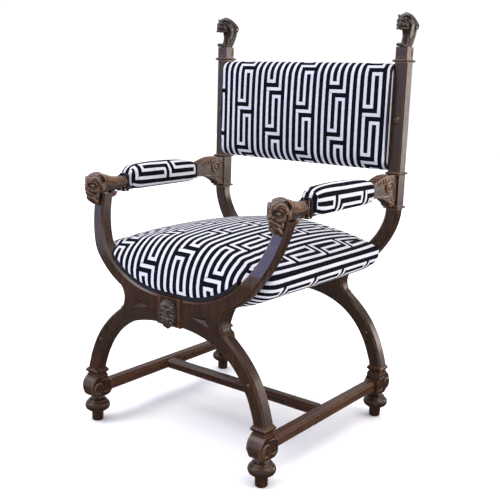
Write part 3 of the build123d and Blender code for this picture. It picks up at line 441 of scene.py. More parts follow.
def wood(name, grain, turn=(0, 0, 0), carved=False, tone=1.0, worn_and_highlight_colour=GOLD_WEAR_AND_HIGHLIGHT, shine=1.0):
    """Dark stained walnut: grain is the axis that the fibres follow, turn tips it."""
    n = Nodes(name)
    scale = {"X": (9, 150, 150), "Y": (150, 9, 150), "Z": (150, 150, 9)}[grain]
    fibres = n.noise(scale, 5.0, 0.6, 0.5, turn)
    pores = n.noise(tuple(s * 5 for s in scale), 2.0, 0.5, turn=turn)
    cloud, grime = n.noise(9, 3.0), n.noise(60)
    body = n.ramp(fibres, (0.22, DARK), (0.50, BROWN), (0.84, RED))
    body = n.mix(n.ramp(cloud, (0.35, 0), (0.68, 1)), n.mix(0.5, body, DARK), body)
    if carved:
        proud = n.node("Attribute", {}, "Fac", attribute_name="wear")
        height = n.math("MULTIPLY_ADD", proud, 0.30, 0.40)
        height = n.math("ADD", height, n.math("MULTIPLY_ADD", grime, 0.5, -0.25))
        # ridges take the worn colour: rubbed wear, with a painted highlight in it
        body = n.mix(n.ramp(height, (0.45, 0), (0.95, 0.9)), body, worn_and_highlight_colour)
        # the cuts are darkened towards near black: painted shade in the hollows
        painted_shade_in_cuts = n.math("MULTIPLY", n.ramp(height, (0.15, 1), (0.40, 0)), 0.85)
        body = n.mix(painted_shade_in_cuts, body, (0.006, 0.0035, 0.003))
    else:
        # the arrises are lightened: rubbed wear along the edges, and a painted edge highlight
        edge = n.node("Bevel", {"Radius": 0.003}, samples=6)
        flat = n.node("NewGeometry", {}, "Normal")
        bend = n.math("SUBTRACT", 1.0, n.vector("DOT_PRODUCT", {0: edge, 1: flat}, "Value"))
        rubbed_and_lit_edge = n.math("MULTIPLY", bend, n.math("MULTIPLY_ADD", grime, 6.0, -0.6))
        body = n.mix(n.node("Clamp", {0: rubbed_and_lit_edge}), body, (0.24, 0.105, 0.045))
    body = n.mix(n.ramp(pores, (0.30, 0.6), (0.40, 0)), body, (0.010, 0.006, 0.004))
    if tone != 1.0:
        body = n.mix(1.0, body, (tone, tone, tone), "MULTIPLY")
    return n.shade(
        Base_Color=body, Roughness=n.ramp(grime, (0.3, 0.24), (0.7, 0.38)), Coat_Roughness=0.12,
        Coat_Weight=shine * (0.40 if carved else 0.16), Specular_IOR_Level=shine * (0.42 if carved else 0.30),
        Normal=n.bumps((fibres, 0.12, 0.0006), (pores, 0.25, 0.0003), (cloud, 0.4, 0.0012)),
    )


MODULE = 10.4  # the width of one stripe, mm
THIN = 0.08  # the black gains this much at each edge of a stripe, in modules
REPEAT = (10.0, 12.0)  # the pattern's repeat across and along, in modules
# the white parts of one repeat, in modules: left, right, bottom, top; a plain meander and two stripes
KEY = (
    (0, 5, 0, 1), (4, 5, 0, 11), (2, 5, 10, 11), (2, 3, 2, 11), (0, 3, 2, 3), (0, 1, 2, 12.5), (6, 7, -1, 20),
    (8, 9, -1, 20),
)


def patterned_cloth(name):
    """A black and white woven meander, drawn in the cloth's own UV, which is in metres."""
    n = Nodes(name)
    uv = n.node("UVMap", {}, uv_map="cloth")
    wobble = n.node("TexNoise", {"Vector": uv, "Scale": 130.0, "Detail": 2.0}, "Color")
    wobble = n.vector("SUBTRACT", {0: wobble, 1: (0.5, 0.5, 0.5)})
    wobble = n.vector("SCALE", {0: wobble, "Scale": 0.0011})
    x = n.node("SeparateXYZ", {0: n.vector("ADD", {0: uv, 1: wobble})}, "X")
    y = x.node.outputs["Y"]
    across = n.math("WRAP", n.math("MULTIPLY", x, 1 / (MODULE * MM)), REPEAT[0], 0.0)
    column = n.math("FLOOR", n.math("MULTIPLY", x, 1 / (MODULE * MM * REPEAT[0])))
    drop = n.math("MULTIPLY", n.math("FLOORED_MODULO", column, 2.0), REPEAT[1] / 2 + 0.5)
    along = n.math("ADD", n.math("MULTIPLY", y, 1 / (MODULE * MM)), drop)
    along = n.math("WRAP", along, REPEAT[1], 0.0)
    white = None
    for left, right, low, high in KEY:
        beside = n.math("COMPARE", across, (left + right) / 2, (right - left) / 2 - THIN)
        level = n.math("COMPARE", along, (low + high) / 2, (high - low) / 2 - THIN)
        inside = n.math("MULTIPLY", beside, level)
        white = inside if white is None else n.math("MAXIMUM", white, inside)
    weave = n.math("MULTIPLY", n.wave(uv, 230.0, 0.6, "X"), n.wave(uv, 230.0, 0.6, "Y"))
    soil = n.ramp(n.noise(14), (0.3, 0), (0.75, 1))
    light = n.mix(soil, (0.60, 0.60, 0.64), (0.50, 0.50, 0.545))
    light = n.mix(n.math("MULTIPLY", weave, 0.22), light, (0.36, 0.36, 0.41))
    dark = n.mix(weave, (0.0025, 0.0025, 0.005), (0.009, 0.009, 0.015))
    return n.shade(
        Base_Color=n.mix(white, dark, light), Normal=n.bumps((weave, 0.35, 0.0004), (white, 0.3, 0.0003)),
        Roughness=0.86, Sheen_Weight=0.005, Sheen_Roughness=0.5, Specular_IOR_Level=0.03,
    )


def plain_cloth(name, colour, scale, depth):
    """Coarse plain weave, with threads along all three axes."""
    n = Nodes(name)
    along_x, along_y, along_z = (n.wave(n.coords(1), scale, 1.0, axis) for axis in "XYZ")
    weave = n.math("MULTIPLY", n.math("ADD", along_x, along_y), along_z)
    shades = [tuple(min(1, part * share) for part in colour) for share in (0.7, 1.35, 0.45)]
    body = n.mix(n.noise(25), shades[0], shades[1])
    body = n.mix(n.math("MULTIPLY", weave, 0.3), body, shades[2])
    return n.shade(
        Base_Color=body, Roughness=0.9, Normal=n.bumps((weave, 0.5, depth)), Sheen_Weight=0.2,
        Specular_IOR_Level=0.3,
    )


def braid(name):
    """Black braided trim: diagonal plaits in the shade of the thread."""
    n = Nodes(name)
    plaits = [n.wave(n.coords((way, 1, 1)), 210.0, 0.4, "DIAGONAL") for way in (1, -1)]
    plait = n.math("MAXIMUM", *plaits)
    body = n.mix(plait, (0.0025, 0.0025, 0.004), (0.012, 0.012, 0.018))
    body = n.mix(n.math("MULTIPLY", n.noise(40), 0.15), body, (0.05, 0.05, 0.06))
    normal = n.bumps((plait, 0.6, 0.0008))
    return n.shade(Base_Color=body, Roughness=0.8, Normal=normal, Specular_IOR_Level=0.2)


# ---- upholstery
def crown(x, y):
    """The seat's top: round across the chair, much flatter from front to rear."""
    return CROWN_Z - CROWN_R + math.sqrt(CROWN_R ** 2 - x * x) - y * y / 4000


def fade(value, start, end):
    """0 up to start, 1 from end on, and straight between them."""
    return np.clip((value - start) / (end - start), 0, 1)


def lengths(points):
    """Length along a path up to each of its points."""
    return np.concatenate([[0], np.cumsum(np.linalg.norm(np.diff(points, axis=0), axis=1))])


def resample(points, count):
    """Points at even steps along a closed outline."""
    p = np.vstack([points, points[:1]])
    s = lengths(p)
    at = np.linspace(0, s[-1], count, endpoint=False)
    return np.column_stack([np.interp(at, s, part) for part in p.T])


def inset_ring(outline, amount):
    """A closed XZ outline moved inwards by amount."""
    ahead = np.roll(outline, -1, axis=0) - np.roll(outline, 1, axis=0)
    normal = np.column_stack([-ahead[:, 1], ahead[:, 0]])
    normal /= np.maximum(np.linalg.norm(normal, axis=1), 1e-9)[:, None]
    return outline + normal * amount


def inflate(ob, pinned, pressure, cap, frames=20):
    """Blows the piece up as cloth, holding the pinned points, and caps how far a point may go."""
    start, levels = points_of(ob), np.round(pinned, 1)
    group = ob.vertex_groups.new(name="nailed")
    for weight in np.unique(levels):
        if weight > 0:
            group.add(np.nonzero(levels == weight)[0].tolist(), float(weight), "REPLACE")
    cloth = ob.modifiers.new("cloth", "CLOTH")
    settings = {
        "quality": 6, "mass": 0.3, "tension_stiffness": 15.0, "compression_stiffness": 15.0,
        "shear_stiffness": 5.0, "bending_stiffness": 0.5, "use_pressure": True, "pin_stiffness": 1.0,
        "uniform_pressure_force": pressure, "vertex_group_mass": group.name,
    }
    for key, value in settings.items():
        setattr(cloth.settings, key, value)
    cloth.settings.effector_weights.gravity = 0.0
    cloth.collision_settings.use_collision = False
    cloth.point_cache.frame_start, cloth.point_cache.frame_end = 1, frames
    scene = bpy.context.scene
    for i in range(1, frames + 1):
        scene.frame_set(i)
    apply_modifiers(ob)
    moved = points_of(ob) - start
    far = np.linalg.norm(moved, axis=1)
    moved *= (cap * np.tanh(far / cap) / np.maximum(far, 1e-9))[:, None]
    set_points(ob, start + moved)
    scene.frame_set(1)
    ob.vertex_groups.clear()


def map_cloth(ob, place):
    """Writes the cloth's UV, which is in metres. place(centres, normals, points) gives u and v in mm for
    each corner of each face, so that a fold line can run between two faces."""
    me = ob.data
    corner = fetch(me.loops, "vertex_index", kind=int)
    face = np.repeat(np.arange(len(me.polygons)), fetch(me.polygons, "loop_total", kind=int))
    centres, normals = fetch(me.polygons, "center", 3)[face] / MM, fetch(me.polygons, "normal", 3)[face]
    uv = place(centres, normals, points_of(ob)[corner])
    me.uv_layers.new(name="cloth").data.foreach_set("uv", (uv * MM).ravel())
    return ob


def arc_table(outline, centre):
    """Length along an outline against the angle about centre: 0 at the top, + towards +X."""
    angle = np.arctan2(outline[:, 0] - centre[0], outline[:, 1] - centre[1])
    order = np.argsort(angle)
    return angle[order], lengths(outline)[order]


# --- seat: a barrel between the frames, with a plug in each U
SIDE_X = 278.0  # the barrel's widest, at each side
SEAT_END = 247.0  # the barrel's ends, in Y
SEAT_AXIS = 440.0  # the height that angles round the barrel are measured from
FRONT_ROLL, REAR_ROLL = 74.0, 40.0  # radii of the turns over the front and the rear, in the middle
END_ROLL = 24.0  # the barrel's sides turn in to the frames with this radius


def keel():
    """The seat's underside in X and Z, from its middle to the right."""
    return cubic((0, 386), 0, 0.4, (205, 405), 22, 0.3, 30)


def barrel_half():
    """Section of the barrel's right half in X and Z, from the crown's middle round to the keel's."""
    top = [(x, crown(x, 0)) for x in np.linspace(0, 246, 36)]
    shoulder = smooth_path([(246, crown(246, 0)), (264, 493.5), (274.5, 486), (SIDE_X, 472)], 12)
    side = cubic((205, 405), 24, 0.38, (SIDE_X, 472), 90, 0.38, 26)[::-1]
    return np.vstack([top, shoulder[1:], side[1:], keel()[-2::-1]])


def whole(half):
    left = half[::-1].copy()
    left[:, 0] *= -1
    return np.vstack([half, left[1:-1]])


def u_plug(side):
    """Rings of the upholstery inside a frame's U: under the crown, turned over towards its face,
    and drawn in at the front face to leave a channel for the braid."""
    face, roll = (278.5, FRONT_ROLL) if side < 0 else (268.0, REAR_ROLL)
    turn = face - roll
    turned = [turn + roll * math.sin(math.radians(a)) for a in (14, 26, 37, 47, 56, 64, 71, 78, 85, 90)]
    rings = []
    for depth in (185, 205, turn, *turned):
        channel = float(np.interp(depth, (face - 6, face - 2.5, face), (0.8, 6.5, 8.5)))
        edge = u_edge(side, channel if side < 0 else 0.8, 160)
        dip = 1 - math.sqrt(max(1 - min(1.0, max(0.0, depth - turn) / roll) ** 2, 0))

        def top(x):
            return crown(x, depth) - roll * (1 - 0.5 * min(1.0, abs(x) / 225) ** 2) * dip

        wide = next(x for x, z in edge if z > top(x) - 1)
        below = edge[edge[:, 0] < wide - 0.5]
        over = [(x, top(x)) for x in np.linspace(wide, 0, 50)]
        ring = resample(whole(np.vstack([(0, edge[0, 1]), below, over])[::-1]), 180)
        rings.append(columns(ring[:, 0], side * depth, ring[:, 1]))
    last = rings[-1]
    middle = np.array([0, side * face, (U_Z + last[:, 2].max()) / 2 + 3])
    for share, proud in ((0.10, 1.4), (0.25, 3.2), (0.5, 4.6), (0.8, 5.2)):
        ring = last + (middle - last) * share
        ring[:, 1] = side * (face + proud)
        rings.append(ring)
    return rings if side > 0 else rings[::-1]


def seat_cushion(material):
    outline = resample(whole(barrel_half()), 200)
    rings = []
    ends = np.array((0.0, 1.2, 3.5, 7, 12, 18, 24))
    for at in (*(ends - SEAT_END), *np.arange(-215, 216, 10.0), *(SEAT_END - ends[::-1])):
        d = SEAT_END - abs(at)
        turn = END_ROLL - math.sqrt(END_ROLL ** 2 - max(0.0, END_ROLL - d) ** 2)
        inset = np.maximum(fade(outline[:, 1], 494, 472) * turn, 7.0 - 2.2 * d)
        ring = inset_ring(outline, -inset[:, None])
        z = ring[:, 1] - (CROWN_Z - crown(0, at)) * fade(ring[:, 1], SEAT_AXIS, 530)
        lean = np.maximum(0, z - LEAN_Z) * LEAN
        rings.append(columns(ring[:, 0], np.maximum(at, lean - SEAT_END) if at < -200 else at, z))
    ob = lofted("seat_cushion", material, rings, u_plug(-1), u_plug(1))
    remesh(ob, 5.0, 4, 0.6)
    x, y, z = points_of(ob).T
    x = np.abs(x)
    # held under the barrel, where it is nailed to the boards and along the U
    held = fade(z, 425, 400)
    front, rear = u_edge(-1, 0), u_edge(1, 0)

    def reach(edge, z):
        return np.interp(z, edge[:, 1], edge[:, 0])

    for edge, outer in ((front, y < -244), (rear, y > 244)):
        held = np.maximum(held, fade(reach(edge, z) - x, 16, 6) * outer)
    step = (np.abs(y) > 238) & (x > reach(front, z) - 6)
    inflate(ob, np.maximum(held, step * 1.0), 3.0, 7.0)
    subdivide(ob)
    angle, length = arc_table(barrel_half(), (0, SEAT_AXIS))

    def place(centre, normal, point):
        px, py, pz = point.T
        round_u = np.sign(px) * np.interp(np.arctan2(np.abs(px), pz - SEAT_AXIS), angle, length)
        fx, fy, fz = np.abs(centre[:, 0]), centre[:, 1], centre[:, 2]
        edge = np.where(fy < 0, reach(front, fz), reach(rear, fz))
        plug = (np.abs(fy) > SEAT_END - 0.5) & (fx < edge + 2) | (fx < 225) & (fz > SEAT_AXIS)
        u = np.where(plug, CROWN_R * np.arcsin(px / CROWN_R), round_u)
        # past a turn the cloth's length follows the curve
        start = SEAT_END - END_ROLL
        bent = start + END_ROLL * np.arcsin(np.clip((np.abs(py) - start) / END_ROLL, 0, 1))
        v = np.where((np.abs(py) > start) & (fz < 480), -np.sign(py) * bent, -py)
        for side, face, roll in ((-1, 280.0, FRONT_ROLL), (1, 270.0, REAR_ROLL)):
            turn = face - roll
            low = crown(0, face) - roll
            over = np.arctan2(np.maximum(side * py - turn, 0), np.maximum(pz - low, 0.01)) * roll
            down = turn + np.where(pz > low, over, roll * math.pi / 2 + low - pz)
            v = np.where((side * fy > turn) & plug, -side * down, v)
        return columns(u, v)

    return map_cloth(ob, place)


# --- back: a pad rolled over at its top and bottom
BACK_Z, BACK_HALF = 825.5, 136.5  # its middle height and half its own
BACK_X, BACK_Y, BACK_ROLL = 275.0, 228.0, 24.0  # half its width, its front, and its edges' radius


def back_cushion(material):
    high, rear = BACK_Z + BACK_HALF, 285.0
    ends = {275.2: 6.0, 274.6: 2.5, 272.0: 0.6}  # how far the rings near each end are drawn in
    rings = []
    for x in (*(-x for x in ends), *np.arange(-265, 266, 6.625), *list(ends)[::-1]):
        # a ring in Y and Z, from the middle of the front round the top, the rear and the bottom
        bulge = 3.5 * (1 - (abs(x) / BACK_X) ** 2.5)
        share, a = np.linspace(0, 1, 24), np.linspace(0, math.pi / 2, 12)
        front = columns(BACK_Y - bulge * np.cos(share * math.pi / 2), BACK_Z + share * 110)
        roll = columns(BACK_Y + BACK_ROLL * (1 - np.cos(a)), high - BACK_ROLL * (1 - np.sin(a)))
        behind = [(rear - 6, high - 0.5), (rear - 1, high - 4), (rear, high - 12), (rear, BACK_Z)]
        top = np.vstack([front, roll, behind])
        bottom = top[::-1].copy()
        bottom[:, 1] = 2 * BACK_Z - bottom[:, 1]
        ring = resample(np.vstack([top, bottom[1:-1]]), 130)
        away = ring - (258.0, BACK_Z)
        ring = ring - away / np.maximum(np.linalg.norm(away, axis=1), 1)[:, None] * ends.get(abs(x), 0.0)
        rings.append(columns(x, ring[:, 0], ring[:, 1]))
    ob = lofted("back_cushion", material, rings[::-1])
    x, y, _ = points_of(ob).T
    inflate(ob, fade(np.maximum(np.abs(x), y), 262, 272), 2.5, 5.0)
    subdivide(ob)
    flat, fold = BACK_HALF - BACK_ROLL, BACK_Y + BACK_ROLL  # where the roll begins and where it ends

    def place(centre, normal, point):
        px, py, pz = point.T
        way = np.sign(centre[:, 2] - BACK_Z)
        over = np.abs(pz - BACK_Z) - flat
        turned = flat + BACK_ROLL * np.arctan2(over, np.maximum(fold - py, 0.01))
        v = np.where(over > 0, way * turned, pz - BACK_Z)
        past = flat + BACK_ROLL * math.pi / 2 + py - fold
        v = np.where((centre[:, 1] > fold) & (np.abs(normal[:, 2]) > 0.5), way * past, v)
        v = np.where(normal[:, 1] > 0.6, pz - BACK_Z, v)
        end = np.abs(normal[:, 0]) > 0.75
        u = np.where(end, np.sign(px) * (BACK_X + py - BACK_Y), px)
        return columns(u + 3.0, np.where(end, pz - BACK_Z, v))

    return map_cloth(ob, place)


# --- arms
def arm_cushion(name, material):
    """Right arm pad: a bolster over the rail, closed at both ends."""
    def section(width, low, high):
        half = (high - low) / 2
        up, out = oval(half, width / 2, 0.62, 0.62, 72)
        down, _ = oval(half, width / 2, 0.5, 0.62, 72)
        return resample(columns(out, (low + high) / 2 + np.where(up > 0, up, down)), 84)

    rings = []
    front = ((-147.5, 0.26), (-146.6, 0.46), (-143.8, 0.64), (-138.5, 0.80), (-130, 0.92), (-119, 0.985))
    rear = ((95, 0.985), (104, 0.94), (111, 0.86), (116, 0.74), (119, 0.58), (120.4, 0.40))
    for y, swell in (*front, *((y, 1.0) for y in np.arange(-108, 87, 8.0)), *rear):
        t = (y + 147) / 267
        low, high = 613.5 + 5 * t, 682 - t - 6 * abs(2 * t - 1) ** 3
        cz, hz = (low + high) / 2, (high - low) / 2
        ring = section(58 * swell, cz - hz * swell, cz + hz * swell)
        rings.append(columns(RAIL_X + ring[:, 0], y, ring[:, 1]))
    ob = lofted(name, material, rings)
    remesh(ob, 3.0, 3)
    inflate(ob, fade(points_of(ob)[:, 2], 622, 612), 2.5, 3.0)
    subdivide(ob)
    middle, top = 646, 681
    angle, length = arc_table(section(58, 612, top)[:42], (0, middle))

    def place(centre, normal, point):
        px, py, pz = point[:, 0] - RAIL_X, point[:, 1], point[:, 2]
        u = np.sign(px) * np.interp(np.arctan2(np.abs(px), pz - middle), angle, length)
        front, rear = centre[:, 1] < -139.5, centre[:, 1] > 114
        v = np.where(front, 147 + np.maximum(0, top - pz), -py)
        v = np.where(rear, -120 - (top - pz), v)
        u = np.where(front | rear, px * 1.06, u)
        return columns(u + 62.0, v)

    return map_cloth(ob, place)


# ---- carved pieces
def super_ring(half_w, half_h, centre, y, power=0.8, count=28):
    """A level-ended oval in X and Z at one y; power below 1 squares it."""
    x, z = oval(half_w, half_h, power, power, count)
    return columns(centre[0] + x, y, centre[1] + z)


def spiral(eye, start_r, end_r, turns, start_angle, hand, x, count=26):
    """Points of a scroll in the plane of constant x, from its eye outwards."""
    t = np.linspace(0, 1, count)
    r = start_r + (end_r - start_r) * t ** 0.85
    a = math.radians(start_angle) + hand * 2 * math.pi * turns * t
    return columns(x, eye[0] + r * np.cos(a), eye[1] + r * np.sin(a))


def egg_map(centre, radii, place):
    """Returns a function for points on an egg: so far across and up from place, and out of it."""
    centre, radii, place = (np.array(part, float) for part in (centre, radii, place))
    side = np.cross((0, 0, 1), place - centre)
    side /= np.linalg.norm(side)

    def at(across, up, out=0):
        away = place + side * across + (0, 0, up) - centre
        away /= np.linalg.norm(away / radii)
        return centre + away + away / np.linalg.norm(away) * out

    return at


MANE_Y = (-250, -235, -216, -196, -178, -160)


def arm_head(name, material):
    """A lion's head at the arm's end, its mane swept back along the rail, x from the arm's middle."""
    c = Carving()
    neck = (
        (-262, 15, 637, 20, 0), (-250, 22, 637, 26, 0), (-235, 22.5, 637, 25, 0), (-216, 19.5, 635, 21, 0),
        (-196, 15.5, 634, 18, 0.5), (-178, 13.2, 634, 16.8, 1), (-166, 12.8, 634, 16.5, 1.5),
        (-157.5, 12.8, 634, 16.3, 2),
    )
    c.loft([super_ring(w, h, (shift, z), y) for y, w, z, h, shift in neck])
    skull, skull_radii = (0, -252, 636), (23.5, 29, 30)
    on_skull = egg_map(skull, skull_radii, (15, -277.5, 633))
    c.ball(skull, skull_radii, 0, 28, 18)
    c.ball((0, -260, 608), (17, 14, 17))
    c.ball((0, -270, 619), (13, 13, 13))
    # nose and the mouth's corners, kept small: the brows and the cheeks are what shows
    c.stroke([(0, -277, 652), (0, -281.5, 642), (0, -284.5, 631)], (4.6, 4, 4.6))
    c.knob((4.2, -282, 627), (3.4, 3.2, 2.8))
    c.ridge([(1, -283, 620.5), (6, -279.5, 616.5), (11, -273.5, 612), (14, -266, 605)], (2.4, 2.5, 2.4, 1.6))
    c.ridge([(1, -279, 611.5), (6, -275, 606.5), (10, -268, 600)], (2.4, 2.4, 1.6))
    # two bold brows, a lid, the eye deep under it, and three folds of the cheek
    for out, radii, *points in (
        (2.2, (2, 3.6, 4, 3.4, 2.4), (-10, 13), (-3, 21), (5, 26), (14, 26), (21.5, 21), (26.5, 12),
         (27.5, 2)),
        (1.6, (1.6, 2.8, 3, 2.8, 1.8), (-12, 8.5), (-5, 15.5), (5, 18.8), (14, 17), (20, 10.5), (21.5, 2)),
        (0.8, (1.2, 2, 2.2, 2, 1.2), (-14, 5), (-8, 10.5), (0, 12.3), (8, 10), (13.5, 4.5), (15, -1)),
        (0.3, (1, 1.6, 1.7, 1), (-10, -3), (-4, -6.6), (4, -7), (10, -3.5), (12, 0)),
        (1.6, (1.8, 3, 3.2, 2.8, 1.6), (-9, -8), (-3, -12.5), (5, -14.6), (13, -12), (18.5, -5.5), (20, 1)),
        (1.4, (1.6, 3, 3.2, 2.8, 1.4), (-7, -16), (1, -20.5), (10, -22), (19, -18.5), (25, -11)),
        (0.6, (1.4, 2.6, 2.6, 1.4), (-2, -25.5), (8, -28.5), (18, -27), (26, -20.5)),
        (0.8, (1.4, 2, 1.2), (-15, -1), (-14, -6), (-11, -12)),
    ):
        c.ridge([on_skull(a, b, out) for a, b in points], radii)
    c.knob(on_skull(0.5, 1.5, -1.6), (4.6, 4.6, 3.4))
    # ear
    c.knob((24.2, -249, 630), (3.4, 5, 6.6))
    rim = [(24.8, -249 + 5.6 * math.cos(a), 630 + 7.6 * math.sin(a)) for a in np.linspace(-2.4, 3.3, 14)]
    c.ridge(rim, (1.3, 2.1, 2.1, 1.3))
    # hair over the forehead, in front of the brow, and along the crown
    for a, low in ((-17.5, 7), (-14.6, 13), (-11.4, 19), (-7.6, 24.5), (-3.2, 29)):
        lock = ((a * 1.04, low, 0.2), (a * 0.92, low + 8, 0.8), (a * 0.6 + 1, low + 16, 0.8))
        c.ridge([on_skull(*spot) for spot in lock], (1.1, 1.7, 1.3))
    for x in (3.2, 8.4, 13.2):
        start, top = (x * 0.9, -272 + x * 0.5, 659.5 - x * 0.25), (x, -260, 665.6 - x * 0.36)
        lock = [start, top, (x * 1.1, -247, 667 - x * 0.42), (x * 1.1, -236, 664 - x * 0.36)]
        c.ridge(lock, (1.4, 2.2, 2.2, 1.4))
    # the mane: C-shaped ridges one behind another, from beside the brow to the rail
    for k in range(10):
        y = -247 + 9.2 * k
        w = np.interp(y, MANE_Y, (24.5, 24.5, 21, 16.6, 14.3, 13.6))
        top = np.interp(y, MANE_Y, (664.5, 662, 656.5, 652.4, 650.8, 650))
        low = top - 27 + 0.8 * k
        over = [(2.5, y - 5, top), (w * 0.52, y - 1, top - 1.8), (w * 0.88, y + 3.5, top - 7.5)]
        down = [(w * 1.02, y + 6, top - 14.5), (w * 1.02, y + 5, low + 5), (w * 0.98, y - 1.5, low)]
        c.ridge(over + down, (3.5 - 0.14 * k) * np.array((0.6, 0.9, 1, 1, 0.8, 0.45)))
    # the beard's bands, running down into the upright
    for x in (-13.5, -9, -4.5, 0, 4.5, 9, 13.5):
        start, chin = (x * 0.9, -276 + abs(x) * 0.3, 604), (x, -268.5 + abs(x) * 0.2, 597)
        band = [start, chin, (x * 0.9, -258.5, 591), (x * 0.7, -250.5, 586.5 + abs(x) * 0.35)]
        c.stroke(band, (2.4, 2.8, 2.4, 1.2))
    c.ball((0, -257, 596), (14, 9, 11))
    # the leaf behind the upright, pointed and hanging, and the small scallop where the rail begins
    c.ball((0, -198, 611.5), (11.5, 10, 10.5), -18)
    for x in (-8, 0, 8):
        vein = [(x, -186, 614), (x, -193, 605), (x * 0.8, -202, 601.5), (x * 0.5, -209, 605)]
        c.stroke(vein, (1.6, 2.8, 2.8, 1.6))
    c.ball((0.5, -171.5, 617), (11, 6.5, 5))
    return c.make(name, ARM_X, 0.95, 1, material)


def finial(name, material):
    """A lion's head that looks forward from an S-shaped neck, x from the post's middle."""
    c = Carving()
    rows = (
        (1003.6, 252.5, 280, 12.5), (1010, 253.5, 284, 12), (1018, 256, 289.5, 11.3), (1026, 257.5, 295, 11),
        (1035, 257.5, 299.5, 11.5), (1044, 255, 302, 13), (1052, 252, 303, 14.5), (1062, 252, 303, 15.5),
        (1072, 254, 299, 14), (1080, 258, 290, 10),
    )
    rings = []
    for z, front, back, w in rows:
        x, y = oval(w, (back - front) / 2, 0.9, 0.85, 28)
        rings.append(columns(x, (front + back) / 2 + y, z))
    c.loft(rings)
    c.ball((0, 264, 1066), (16.5, 34, 21.5))
    c.ball((0, 248, 1062), (14.5, 18, 17))
    c.ball((0, 239, 1055.5), (12, 13.5, 12))
    c.ball((0, 231, 1054.5), (7.6, 6, 7.8))
    c.knob((9.5, 243, 1056), (6.5, 9, 6.5))
    c.ridge([(0.8, 236, 1071), (6, 238, 1077), (12, 244, 1079.5), (17, 256, 1074)], (2, 2.8, 3, 1.8))
    c.ridge([(3, 230.5, 1066.5), (9, 234.5, 1069), (14, 243, 1068), (16.5, 252, 1062)], (1.2, 1.9, 1.9, 1.2))
    c.knob((10.4, 236.5, 1064.5), (2.6, 2.6, 2.6))
    c.ridge([(1, 226.5, 1048.5), (7, 230, 1046.5), (12, 239, 1047), (15, 250, 1051)], (1.8, 2.4, 2.4, 1.6))
    rim = [(16, 262 + 6 * math.cos(a), 1061 + 8 * math.sin(a)) for a in np.linspace(-2, 3.4, 12)]
    c.ridge(rim, (1.3, 2, 2, 1.3))
    c.knob((15.5, 262, 1061), (3, 4, 5.5))
    for k in range(6):
        y, z = 262 + 7.2 * k, 1086.5 - 0.55 * k * k
        lock = [(0.5, y - 4, z + 1), (9, y, z - 4), (15.5, y + 3, z - 14), (15, y + 1, z - 24)]
        c.ridge(lock, (1.8, 2.4, 2.4, 1.4))
    # long locks down the neck, the last in the middle of its back
    for radii, *lock in (
        ((2, 2.4, 2.4, 2.6, 1.6), (11.5, 262, 1004.5), (11, 272, 1018), (11, 284, 1034), (13.5, 290, 1048),
         (15.5, 284, 1060)),
        ((2.2, 2.8, 2.8, 2.8, 1.6), (11.5, 269.5, 1004.5), (11.2, 279.5, 1019), (11.4, 290, 1035),
         (13.6, 294.5, 1050), (15, 290, 1064)),
        ((2.4, 3, 3, 2), (11, 277, 1004.5), (10.5, 287, 1020), (10.5, 295.5, 1036), (11.5, 299, 1052)),
        ((2.4, 3, 3, 2.4), (6, 280, 1004.5), (6, 290.5, 1020), (6, 299, 1036), (6.5, 302, 1052)),
    ):
        c.ridge(lock, radii)
    spine = [(0, 281, 1004.5), (0, 291.5, 1020), (0, 300, 1036), (0, 303.5, 1052), (0, 301, 1068)]
    c.stroke(spine, (2.4, 2.8, 2.8, 3, 2.4))
    # the little scrolled ledge in front
    c.stroke([(-7.5, 238.5, 1008.4), (7.5, 238.5, 1008.4)], (4.7, 4.7))
    c.knob((7.8, 238.5, 1008.4), (2, 3, 3))
    c.loft([super_ring(8.5, 2.5, (0, 1006), 238, 0.5), super_ring(11, 2.6, (0, 1006.3), 256, 0.5)])
    return c.make(name, POST_X, 1, 2, material)


